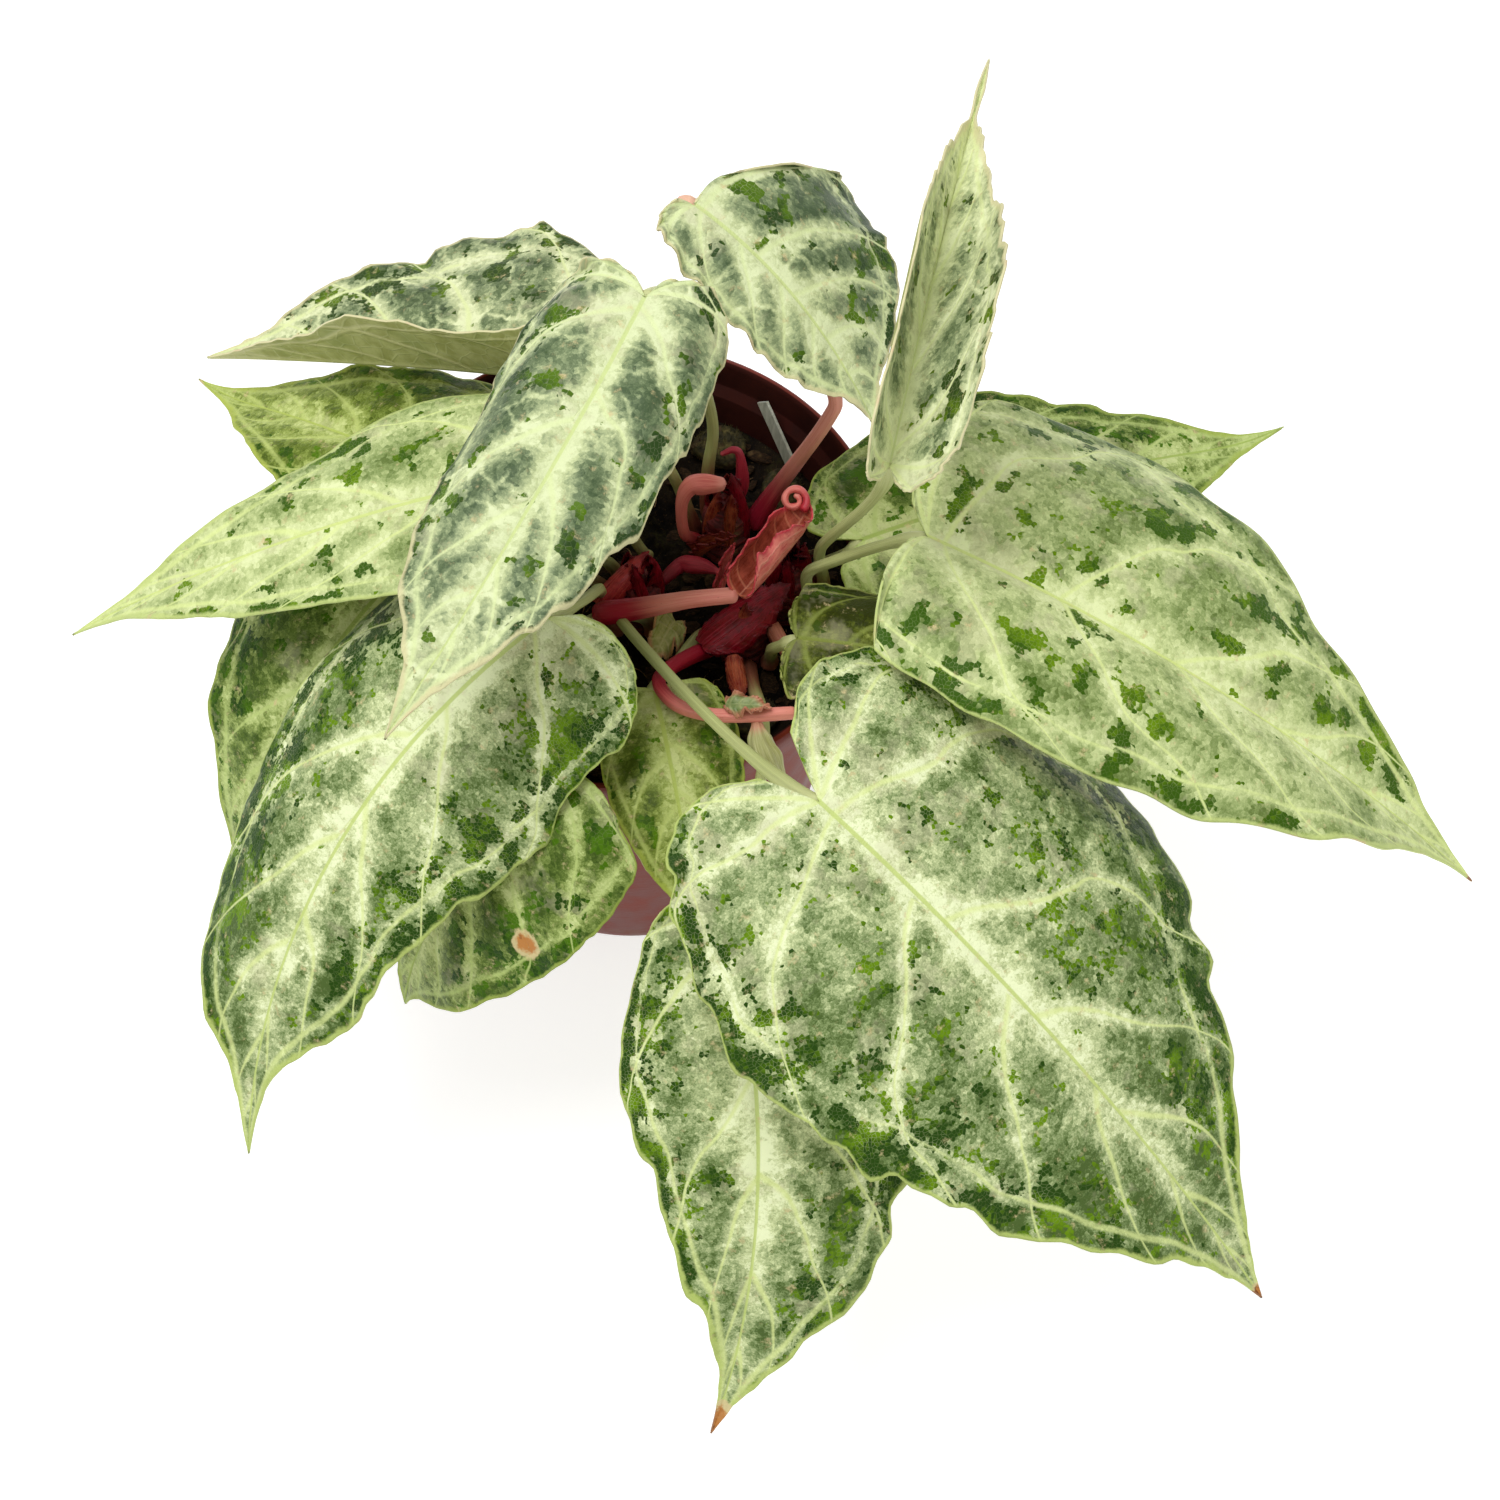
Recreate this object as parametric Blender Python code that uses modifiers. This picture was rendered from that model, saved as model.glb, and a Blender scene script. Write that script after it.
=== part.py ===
"""A potted anthurium: heart-shaped leaves on thin petioles, grown from short stems in a nursery pot.

The origin is the middle of the pot's underside, +Z is up, and the side with the long hanging
leaves faces -Y. Sizes in the tables are millimetres and degrees.
"""

import math

import bmesh
import bpy
import numpy as np
from mathutils import Vector, noise

MM = 0.001
GAP = 0.3  # clearance kept between neighbouring pieces

# Driving dimensions of the pot and its soil
POT_HEIGHT = 115
RIM_RADIUS = 65
RIM_BAND = 10
BASE_RADIUS = 47
WALL = 1.6
FLOOR = 3
FOOT_DISC = 17
RIM_STEP = 3  # the rim band stands this far out
DRAINS, DRAIN_RADIUS, DRAIN_RING = 8, 4, 28
SOIL_LEVEL = 97

# The short stems: where each stands in the soil, and how high it reaches
STEM_RADIUS = 6
STEM_FOOT = 78
STEMS = {
    "left": dict(at=(7, -5), top=115, lean=(-3, -2)),
    "back": dict(at=(26, 13), top=114, lean=(0, 3)),
    "right": dict(at=(40, -3), top=113, lean=(2, 0)),
    "middle": dict(at=(30, -17), top=112, lean=(1, 1)),
}

# Blade outline, half of it, from behind the lobe round to the tip: share of the half width and
# share of the length. STARTS gives where on the midrib the row to each of these points starts.
HEART = [
    (0.12, -0.110), (0.30, -0.155), (0.52, -0.150), (0.74, -0.080), (0.92, 0.05), (1.00, 0.19), (1.00, 0.33),
    (0.91, 0.48), (0.73, 0.62), (0.47, 0.75), (0.22, 0.855), (0.08, 0.93), (0.0, 1.0),
]
STARTS = [0, 0, 0, 0, 0, 0.02, 0.11, 0.23, 0.38, 0.56, 0.75, 0.88, 1.0]
LANCE = [
    (0.30, -0.02), (0.55, 0.04), (0.78, 0.12), (0.93, 0.22), (1.00, 0.34), (0.97, 0.46), (0.87, 0.58),
    (0.70, 0.70), (0.50, 0.80), (0.30, 0.88), (0.14, 0.94), (0.05, 0.975), (0.0, 1.0),
]
LANCE_STARTS = [0, 0, 0.02, 0.08, 0.17, 0.28, 0.40, 0.53, 0.66, 0.78, 0.88, 0.95, 1.0]

BLADE = 0.8  # thickness
SCALE_BLADE = 0.7  # thickness of the small blades
PETIOLE_FOOT, PETIOLE_MID, PETIOLE_NECK, PETIOLE_TOP = 2.3, 1.4, 1.3, 1.6  # radii
PETIOLE_START = 101  # height

# One entry a leaf. Its petiole starts beside a short stem, at an angle round it and clear of
# it, leans out, may go via a point, and ends the setback short of attach, where it meets the
# blade. tip is
# the blade's point. arch is how far the midrib turns down from base to tip, sweep how far it
# turns to the left, and hook the extra turn of its last quarter. Each pair is for the right and
# the left half, seen from the base: half width, how far that half is lifted, how far it curls
# on to its edge, how full it is towards the tip, how slim near the base, and its lobe's length.
# wave is the height of the waves in the margin, and phase shifts them.
LEAVES = {
    "front_right": dict(
        stem="left", start=-65, via=(10, -36, 128), attach=(47, -89, 152), tip=(145, -173, 78),
        arch=30, half=(49, 59), fold=(8, 8), curl=(-26, -30), full=(0, -0.15), lobe=(0.8, 0.9),
        wave=2.2, phase=0.6,
    ),
    "right": dict(
        stem="right", start=-45, via=(48, -14, 130), attach=(72, -22, 154), tip=(201, -77, 92),
        arch=30, half=(36, 53), fold=(34, 6), curl=(-30, -24), full=(0, -0.3), lobe=(0.2, 0.4),
        wave=2.0, phase=1.4,
    ),
    "front_left": dict(
        stem="left", start=-165, attach=(-13, -41, 150), tip=(-85, -133, 62), arch=34, sweep=40,
        half=(41, 37), fold=(8, 8), curl=(-30, -24), full=(-0.3, -0.35), lobe=(0.4, 0.4), wave=2.0,
        phase=0.2,
    ),
    "left": dict(
        stem="left", start=85, via=(5, 4, 112), attach=(-11, -9, 162), tip=(-128, -24, 116), arch=26,
        half=(29, 23), fold=(8, 10), curl=(-16, -16), full=(-0.8, -0.2), lobe=(0.5, 0.5), wave=1.4,
        phase=2.0,
    ),
    "top": dict(
        stem="back", start=120, via=(22, 27, 140), attach=(9, 14, 194), tip=(-44, -84, 170), arch=22,
        sweep=-15, half=(30, 25), fold=(16, 16), curl=(-40, -40), lobe=(0.3, 0.4), wave=1.8, phase=3.0,
    ),
    "back_left": dict(
        stem="back", start=165, attach=(-8, 21, 155), tip=(-103, 54, 122), arch=8, half=(50, 20),
        fold=(4, 80), curl=(-10, 0), full=(0.2, 0), slim=(0.5, 0), lobe=(0.4, 0.3), wave=1.8,
        phase=0.9,
    ),
    "left_under": dict(
        stem="left", start=125, attach=(-26, -4, 140), tip=(-107, 55, 112), arch=24, hook=-40,
        half=(26, 20), fold=(8, 12), curl=(-14, -14), full=(-0.4, -0.4), lobe=(0.4, 0.4), wave=1.6,
        phase=4.0,
    ),
    "back": dict(
        stem="back", start=30, via=(51, 13, 152), attach=(20, 40, 194), tip=(60, 5, 160), arch=26,
        sweep=-20, half=(16, 42), fold=(10, -6), curl=(-20, -20), full=(0, 0.1), slim=(0, 0.8),
        lobe=(0.5, 0.1), wave=1.6, phase=5.0,
    ),
    "back_right": dict(
        stem="right", start=-10, via=(46, -7, 132), setback=0.6, attach=(62, -23, 183),
        tip=(89, 98, 180), arch=24, half=(26, 22), fold=(40, 62), curl=(10, 20), full=(-1.4, -1.2),
        lobe=(0.4, 0.4), wave=2.0, phase=1.0,
    ),
    "right_under": dict(
        stem="right", start=40, attach=(59, -2, 124), tip=(166, 43, 108), arch=24, hook=-40,
        half=(26, 35), fold=(-2, 4), curl=(-10, -10), full=(-0.3, -0.8), slim=(0, 0.3),
        lobe=(0.5, 0.6), wave=1.4, phase=2.2,
    ),
    "small_right": dict(
        stem="middle", start=-45, attach=(43, -33, 129), tip=(99, -42, 123), arch=20, half=(18, 18),
        fold=(14, 10), curl=(-20, -20), lobe=(0.3, 0.3), wave=1.4, phase=0.4,
    ),
    "lower_left": dict(
        stem="left", start=-130, via=(-11, -33, 121), attach=(-10, -67, 127.5), tip=(-52, -91, 54),
        arch=50, half=(21, 33), fold=(18, 4), curl=(-20, -20), lobe=(0.3, 0.3), wave=1.4, phase=3.3,
    ),
    "far_left": dict(
        stem="left", start=160, attach=(-52, -17, 128), tip=(-91, -61, 50), arch=88, half=(22, 22),
        fold=(8, 8), curl=(-20, -20), lobe=(0.3, 0.3), wave=1.4, phase=5.5,
    ),
    "middle_under": dict(
        stem="middle", start=175, via=(13, -30, 110), attach=(10, -42, 120), tip=(21, -97, 101),
        arch=60, half=(16, 17), fold=(2, 2), curl=(-10, -10), lobe=(0.2, 0.2), wave=1.0, phase=2.8,
    ),
    "front": dict(
        stem="middle", start=-85, clear=1.8, lean=1.2, via=(35, -60, 120.5), attach=(28, -101, 118),
        tip=(23, -192, 38), arch=34, sweep=-32, half=(30, 33), fold=(10, 10), curl=(-20, -20),
        full=(-1.1, 0.6), lobe=(0.4, 0.4), wave=2.0, phase=1.2,
    ),
}

# Young growth at the crown. A shoot starts beside its stem, at an angle and a height, and goes
# through its points with the radii given; clear is how far out it starts. A scale is a small
# blade: a young leaf or a sheath.
SHOOTS = {
    "young_petiole": dict(
        stem="left", start=-105, foot=111, clear=1.7, color="rose",
        points=[(1.5, -17, 119.5), (11, -18.5, 128.5), (28, -23, 131.5)], radii=(2.2, 2.2, 2.0, 1.9),
    ),
    "curled_petiole": dict(
        stem="middle", start=-150, foot=105, color="rose",
        points=[(18, -28, 113), (13, -36, 120), (11, -43, 125), (15, -49, 126), (22, -52, 126.5),
            (32, -54, 127), (40, -55, 128)],
        radii=(2.0, 2.0, 1.8, 1.6, 1.6, 1.6, 1.6, 1.5),
    ),
    "rolled_leaf": dict(
        stem="back", start=-155, foot=103, color="coral",
        points=[(16, 8, 112), (15.5, 10, 121), (17.5, 12, 125.5), (21, 12.5, 126), (25, 12.5, 126)],
        radii=(1.8, 1.6, 1.7, 2.7, 2.9, 1.8),
    ),
    "red_spike": dict(
        stem="back", start=75, foot=103, clear=2.6, color="crimson",
        points=[(30, 22.8, 112), (29.5, 25, 120), (28, 25.5, 122), (25.2, 25, 121)],
        radii=(2.0, 1.8, 1.1, 0.9, 0.6),
    ),
    "bean_leaf": dict(
        stem="left", start=35, foot=106, clear=0.7, color="crimson",
        points=[(15, 1, 108), (18, 0.5, 109), (21, 0, 109), (24, -1, 108.5)],
        radii=(1.3, 1.9, 2.2, 1.8, 0.8),
    ),
    "dry_sheath": dict(
        stem="middle", start=-15, foot=104, color="amber",
        points=[(41, -24, 108), (43.5, -30, 111), (47.5, -33, 112)], radii=(1.6, 1.6, 1.4, 0.9),
    ),
}
SCALES = {
    "young_leaf": dict(
        attach=(29.8, -22.6, 132.2), tip=(45, 1, 142), arch=-20, hook=-170, half=(11, 9),
        fold=(56, 56), curl=(30, 30), wave=0.6, phase=0.3, color="coral",
    ),
    "crimson_sheath": dict(
        attach=(23, -22, 113), tip=(43, -10, 119), arch=30, half=(7, 7), fold=(-10, -10),
        curl=(-30, -30), wave=0.4, phase=2.0, color="crimson",
    ),
    "red_sheath": dict(
        attach=(0, -10, 116.5), tip=(8, -2, 119), arch=40, half=(4, 4), fold=(-10, -10),
        curl=(-30, -30), wave=0.3, phase=1.0, color="crimson",
    ),
    "amber_sheath": dict(
        attach=(19, 5.5, 105), tip=(29, 5, 115), arch=20, half=(4, 4), fold=(50, 50), curl=(20, 20),
        wave=0.4, phase=4.0, color="amber",
    ),
    "folded_leaf": dict(
        attach=(26.6, -10, 106.5), tip=(30, -1, 122), arch=20, half=(3.6, 3.6), fold=(60, 60),
        curl=(30, 30), wave=0.5, phase=5.0, color="rose",
    ),
    "hanging_sheath": dict(
        attach=(28, -28.5, 114.6), tip=(30, -41, 115), arch=30, half=(4.5, 4.5), fold=(-20, -20),
        curl=(-40, -40), wave=0.4, phase=0.0, color="amber",
    ),
    "pale_leaf": dict(
        attach=(12.7, -5.4, 103.2), tip=(19, -16, 107.5), arch=40, half=(2.8, 2.8), fold=(20, 20),
        curl=(20, 20), wave=0.8, phase=3.0, color="lime",
    ),
    "crumpled_leaf": dict(
        attach=(28, -51.5, 129), tip=(43, -53, 131.5), arch=20, half=(3.5, 3.5), fold=(30, 30),
        curl=(-30, -30), wave=0.8, phase=1.5, color="lime",
    ),
}

# Cushions of moss: place on the soil, and size across, along and up
MOSS = {
    "moss_back": ((24, 43), (7, 6, 3)),
    "moss_right": ((40, 30), (5, 6, 2.4)),
    "moss_front": ((33, -36), (6, 5, 2.4)),
}

# A plain grey strip stands in the soil and leans on the pot's wall
LABEL_AT, LABEL_TOP = (42.5, 37.3), (35.2, 48, 111.5)
LABEL_WIDTH, LABEL_THICKNESS = 5, 0.7


def smooth(points, at):
    """Values of a Catmull-Rom curve through evenly numbered points, at fractional numbers at."""
    p = np.asarray(points, float)
    p = p.reshape(len(p), -1)
    padded = np.vstack([2 * p[0] - p[1], p, 2 * p[-1] - p[-2]])
    at = np.clip(at, 0, len(p) - 1)
    i = np.minimum(at.astype(int), len(p) - 2)
    f = (at - i)[..., None]
    a, b, c, d = (padded[i + k] for k in range(4))
    return 0.5 * (2 * b + (c - a) * f + (2 * a - 5 * b + 4 * c - d) * f**2 + (3 * b - a - 3 * c + d) * f**3)


def turned(angle, reach, bend):
    """Sideways and upward reach of an arc that starts at an angle and bends at an even rate."""
    k = np.where(np.abs(bend) < 1e-4, 1e-4, bend)
    end = angle + k
    return reach * (np.sin(end) - np.sin(angle)) / k, reach * (np.cos(angle) - np.cos(end)) / k


def midrib_curve(leaf, count=61):
    """Length of the midrib, points along it, and its direction, right side and normal there."""
    base, tip = (np.array(leaf[k], float) for k in ("attach", "tip"))
    chord = tip - base
    along = chord / np.linalg.norm(chord)
    side = np.cross(along, (0, 0, 1))
    side /= np.linalg.norm(side)
    up = np.cross(side, along)
    s = np.linspace(0, 1, count)
    hooked = leaf.get("hook", 0) * np.clip((s - 0.75) / 0.25, 0, 1) ** 2
    rise = np.radians(leaf["arch"] * (0.5 - s) - hooked)
    turn = np.radians(leaf.get("sweep", 0) * (0.5 - s))
    step = np.stack([np.cos(rise) * np.cos(turn), np.cos(rise) * np.sin(turn), np.sin(rise)], 1)
    path = np.vstack([np.zeros(3), np.cumsum((step[1:] + step[:-1]) / 2, 0)]) / (count - 1)
    straight = np.array(Vector(path[-1]).rotation_difference(Vector((1, 0, 0))).to_matrix())
    axes = np.stack([along, side, up])
    length = np.linalg.norm(chord) / np.linalg.norm(path[-1])
    place = base + length * path @ straight.T @ axes
    direction = step @ straight.T @ axes
    across = np.cross(direction, up)
    across /= np.linalg.norm(across, axis=1)[:, None]
    return length, place, direction, across, np.cross(across, direction)


def blade_points(leaf, row, across):
    """Positions of the blade's middle surface at row numbers and shares across, -1 left to 1 right."""
    length, place, direction, side, normal = midrib_curve(leaf)
    right = across > 0

    def pick(key, default=(0, 0)):
        pair = leaf.get(key, default)
        return np.where(right, pair[0], pair[1])

    edge = smooth(leaf.get("outline", HEART), row)
    start = np.clip(smooth(leaf.get("starts", STARTS), row)[..., 0], 0, 1)
    half = pick("half")
    y_edge = edge[..., 1]
    x_edge = edge[..., 0] * half * (1 + pick("full") * np.clip(y_edge - 0.3, 0, 0.5))
    x_edge = x_edge * (1 - pick("slim") * np.clip(0.3 - y_edge, 0, 0.4) / 0.4)
    y_edge = np.where(y_edge < 0, y_edge * pick("lobe", (1, 1)), y_edge)
    share = np.abs(across)
    x = share * x_edge
    y = length * (start + share * (y_edge - start)) - 0.28 * share * (1 - share) * x_edge
    fold, curl = np.radians(pick("fold")), np.radians(pick("curl"))
    reach, lift = turned(fold, x, curl * 2 * x / half)
    wave = np.sin(1.9 * row + 2.1 * right + leaf["phase"])
    lift = lift + leaf["wave"] * wave * share**2.5 * np.clip(x_edge / (0.6 * half), 0, 1)
    behind = np.clip(-y, 0, None)
    s = np.clip(y / length, 0, 1) * (len(place) - 1)
    i = np.minimum(s.astype(int), len(place) - 2)
    f = (s - i)[..., None]
    point, ahead, out, up = (a[i] * (1 - f) + a[i + 1] * f for a in (place, direction, side, normal))
    reach = reach * np.sign(across)
    return point + out * reach[..., None] + up * lift[..., None] - ahead * behind[..., None]


def moved(obj, name, collection):
    """A primitive that an operator has just added, named and put in a collection."""
    obj.name = name
    for old in obj.users_collection:
        old.objects.unlink(obj)
    collection.objects.link(obj)
    return obj


def finish(obj, material):
    obj.data.materials.append(material)
    if plant not in obj.users_collection:
        plant.objects.link(obj)
    return obj


def blade(name, leaf, material, rows, columns, thickness):
    """A leaf blade: a grid laid out in rows along the veins, bent to shape and given its thickness."""
    bpy.ops.mesh.primitive_grid_add(x_subdivisions=columns, y_subdivisions=rows, size=2)
    obj = moved(bpy.context.object, name, plant)
    mesh = obj.data
    flat = np.array([v.co for v in mesh.vertices])
    last = len(leaf.get("outline", HEART)) - 1
    points = blade_points(leaf, (flat[:, 1] + 1) / 2 * last, flat[:, 0]) * MM
    mesh.vertices.foreach_set("co", points.astype(np.float32).ravel())
    work = bmesh.new()
    work.from_mesh(mesh)
    bmesh.ops.remove_doubles(work, verts=work.verts, dist=0.1 * MM)
    bmesh.ops.triangulate(work, faces=work.faces)
    work.to_mesh(mesh)
    work.free()
    thick = obj.modifiers.new("thickness", "SOLIDIFY")
    thick.thickness = thickness * MM
    thick.offset = 0
    return finish(obj, material)


def tube(name, points, radii, material, sides=2):
    """A round stem through points, with its own radius at each."""
    curve = bpy.data.curves.new(name, "CURVE")
    curve.dimensions = "3D"
    curve.bevel_depth = 1 * MM
    curve.bevel_resolution = sides
    curve.use_fill_caps = True
    line = curve.splines.new("POLY")
    line.points.add(len(points) - 1)
    for spot, place, radius in zip(line.points, points, radii):
        spot.co = (*(c * MM for c in place), 1)
        spot.radius = radius
    return finish(bpy.data.objects.new(name, curve), material)


def stem_axis(stem, height):
    """Middle of a short stem at a height."""
    share = (height - STEM_FOOT) / (stem["top"] - STEM_FOOT)
    return np.append(np.add(stem["at"], np.multiply(stem["lean"], share)), height)


def bezier(a, b, c, d, count):
    """Points along a cubic curve."""
    t = np.linspace(0, 1, count)[:, None]
    return (1 - t) ** 3 * a + 3 * (1 - t) ** 2 * t * b + 3 * (1 - t) * t**2 * c + t**3 * d


def stem_radius(stem, height):
    """Radius of a short stem with its rings of old leaf scars."""
    levels = [STEM_FOOT, stem["top"] - 6, stem["top"]]
    taper = np.interp(height, levels, [STEM_RADIUS - 1, STEM_RADIUS, 3.5])
    return taper + 0.2 * np.sin(np.asarray(height) * 1.4)


def petiole_path(leaf, count):
    """From beside the short stem, up and out to just under the sinus of the blade."""
    stem = STEMS[leaf["stem"]]
    turn = math.radians(leaf["start"])
    out = np.array([math.cos(turn), math.sin(turn), 0])
    foot = PETIOLE_START
    clear = leaf.get("clear", PETIOLE_FOOT + GAP)
    base = stem_axis(stem, foot) + out * (stem_radius(stem, foot) + clear)
    length, place, direction, side, normal = midrib_curve(leaf)
    rise = math.radians(leaf.get("meet", 40))
    arrive = direction[0] * math.cos(rise) + normal[0] * math.sin(rise)
    end = place[0] - normal[0] * (BLADE / 2 + GAP) - arrive * leaf.get("setback", 1.5)
    span = np.linalg.norm(end - base)
    leave = np.array([0, 0, 1]) + leaf.get("lean", 0.15) * out
    if "via" in leaf:
        mid = np.array(leaf["via"], float)
        pull = (end - base) / span
        first = bezier(base, base + leave * span * 0.25, mid - pull * span * 0.25, mid, count // 2 + 1)
        last = bezier(mid, mid + pull * span * 0.25, end - arrive * span * 0.3, end, count // 2 + 1)
        return np.vstack([first, last[1:]])
    return bezier(base, base + leave * span * 0.33, end - arrive * span * 0.33, end, count)


def petiole(name, leaf, material):
    """A leaf's stalk, thick at its foot and swollen where it meets the blade."""
    path = petiole_path(leaf, 11)
    share = np.linspace(0, 1, len(path))
    thick = [PETIOLE_FOOT, PETIOLE_MID, PETIOLE_NECK, PETIOLE_TOP, PETIOLE_TOP]
    return tube(name, path, np.interp(share, [0, 0.25, 0.85, 0.93, 1], thick), material)


def shoot(name, spec, material):
    """A young stem or rolled leaf: a smooth tube that starts beside its short stem."""
    stem, turn = STEMS[spec["stem"]], math.radians(spec["start"])
    out = np.array([math.cos(turn), math.sin(turn), 0])
    clear = spec.get("clear", spec["radii"][0] + GAP)
    first = stem_axis(stem, spec["foot"]) + out * (stem_radius(stem, spec["foot"]) + clear)
    points = np.vstack([first, np.array(spec["points"], float)])
    at = np.linspace(0, len(points) - 1, 2 * len(points) - 1)
    return tube(name, smooth(points, at), smooth(spec["radii"], at)[:, 0], material)


def moss(name, place, size, material):
    """A squashed cushion that sits just above the soil."""
    bpy.ops.mesh.primitive_ico_sphere_add(subdivisions=2, radius=1)
    obj = moved(bpy.context.object, name, plant)
    for v in obj.data.vertices:
        x, y = place[0] + v.co.x * size[0], place[1] + v.co.y * size[1]
        lump = 1 + 0.25 * noise.noise(v.co * 2.3 + Vector((place[0], place[1], 0)))
        rise = size[2] * (v.co.z * lump + 1.25) * (0.5 if v.co.z < 0 else 1)
        v.co = Vector((x, y, soil_height(x, y) + GAP + rise)) * MM
    return finish(obj, material)


def strip(name, foot, top, width, thickness, material):
    """A flat strip that leans on the pot's wall."""
    bpy.ops.mesh.primitive_cube_add(size=1)
    obj = moved(bpy.context.object, name, plant)
    foot, top = Vector(foot), Vector(top)
    rise = top - foot
    side = rise.cross(Vector((foot.x, foot.y, 0))).normalized()
    face = rise.cross(side).normalized()
    for v in obj.data.vertices:
        v.co = (foot + rise * (v.co.z + 0.5) + side * v.co.x * width + face * v.co.y * thickness) * MM
    return finish(obj, material)


def paint(name, colour, roughness):
    """A material named for what it is, with a linear colour."""
    material = bpy.data.materials.new(name)
    material.use_nodes = True
    shader = material.node_tree.nodes["Principled BSDF"]
    shader.inputs["Base Color"].default_value = (*colour, 1)
    shader.inputs["Roughness"].default_value = roughness
    shader.inputs["Metallic"].default_value = 0
    return material


def lathe(name, profile, steps):
    """A mesh turned about +Z from a profile of radius and height that starts and ends on the axis."""
    mesh = bpy.data.meshes.new(name)
    edges = [(i, i + 1) for i in range(len(profile) - 1)]
    mesh.from_pydata([(r * MM, 0, z * MM) for r, z in profile], edges, [])
    obj = bpy.data.objects.new(name, mesh)
    screw = obj.modifiers.new("turn", "SCREW")
    screw.steps = screw.render_steps = steps
    screw.use_merge_vertices = True
    screw.merge_threshold = 0.00005
    screw.use_smooth_shade = True
    return obj


def wall_radius(height):
    """Outer radius of the pot's wall below the rim band."""
    return BASE_RADIUS + (RIM_RADIUS - RIM_STEP - BASE_RADIUS) * height / POT_HEIGHT


def drill(obj, name, start, end, radius, sides):
    """Cut a round hole between two points, in millimetres."""
    start, end = Vector(start), Vector(end)
    bpy.ops.mesh.primitive_cylinder_add(
        vertices=sides, radius=radius * MM, depth=(end - start).length * MM, location=(start + end) / 2 * MM,
        rotation=(end - start).to_track_quat("Z", "Y").to_euler(),
    )
    hole = moved(bpy.context.object, name, cutters)
    hole.hide_render = True
    hole.display_type = "WIRE"
    cut = obj.modifiers.new(name, "BOOLEAN")
    cut.operation = "DIFFERENCE"
    cut.object = hole


def make_pot(material):
    """The pot, with a banded rim, and a foot ring and a flat disc that it stands on."""
    rim = POT_HEIGHT - RIM_BAND
    profile = [
        (0, FLOOR), (BASE_RADIUS - WALL - 1, FLOOR), (wall_radius(FLOOR + 2) - WALL, FLOOR + 2),
        (wall_radius(rim) - WALL, rim), (RIM_RADIUS - WALL - 1.4, rim + 2.5),
        (RIM_RADIUS - WALL - 0.6, POT_HEIGHT - 1), (RIM_RADIUS - 1.3, POT_HEIGHT),
        (RIM_RADIUS - 0.3, POT_HEIGHT - 0.5), (RIM_RADIUS, POT_HEIGHT - 1.6), (RIM_RADIUS - 0.9, rim),
        (wall_radius(rim - 1), rim - 1), (wall_radius(3), 3), (BASE_RADIUS - 1.5, 0), (BASE_RADIUS - 8, 0),
        (BASE_RADIUS - 9, 1), (FOOT_DISC + 1, 1), (FOOT_DISC, 0), (0, 0),
    ]
    pot = finish(lathe("pot", profile, 40), material)
    for k in range(DRAINS):
        turn = 2 * math.pi * (k + 0.5) / DRAINS
        x, y = DRAIN_RING * math.cos(turn), DRAIN_RING * math.sin(turn)
        drill(pot, f"drain_cutter_{k}", (x, y, -4), (x, y, 8), DRAIN_RADIUS, 12)


def soil_height(x, y):
    """Height of the lumpy soil, in millimetres, level where it meets the wall."""
    lump = 3 * noise.noise(Vector((x * 0.075, y * 0.075, 3.1)))
    lump += 1.2 * noise.noise(Vector((x * 0.2, y * 0.2, 8.7)))
    inside = wall_radius(SOIL_LEVEL) - WALL - math.hypot(x, y)
    return SOIL_LEVEL + (lump - 1.5) * min(max(inside - 1, 0) / 10, 1)


def make_soil(material):
    """The soil fills the pot, clear of its faceted wall, with a plain hole for each short stem."""
    top = wall_radius(SOIL_LEVEL) - WALL - GAP - 0.2
    foot = wall_radius(FLOOR + 3) - WALL - GAP - 0.2
    profile = [(r, SOIL_LEVEL) for r in (0, 10, 18, 26, 34, 42, 50)]
    profile += [(top, SOIL_LEVEL), (foot, FLOOR + 2 + GAP), (0, FLOOR + GAP)]
    shape = lathe("soil", profile, 36)
    plant.objects.link(shape)
    mesh = bpy.data.meshes.new_from_object(shape.evaluated_get(bpy.context.evaluated_depsgraph_get()))
    bpy.data.objects.remove(shape)
    for v in mesh.vertices:
        x, y, z = v.co / MM
        if z > SOIL_LEVEL - 1:
            v.co.z = soil_height(x, y) * MM
    soil = finish(bpy.data.objects.new("soil", mesh), material)
    for name, stem in STEMS.items():
        start, end = stem_axis(stem, STEM_FOOT - 1), stem_axis(stem, SOIL_LEVEL + 8)
        drill(soil, f"stem_cutter_{name}", start, end, STEM_RADIUS + GAP + 0.1, 16)


def make_stem(name, stem, material):
    heights = np.linspace(STEM_FOOT + GAP, stem["top"], 12)
    places = [stem_axis(stem, height) for height in heights]
    return tube(name, places, stem_radius(stem, heights), material, sides=3)


for old in list(bpy.data.objects):
    bpy.data.objects.remove(old)
plant = bpy.data.collections.new("potted_anthurium")
cutters = bpy.data.collections.new("cutters")
for collection in (plant, cutters):
    bpy.context.scene.collection.children.link(collection)

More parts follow.
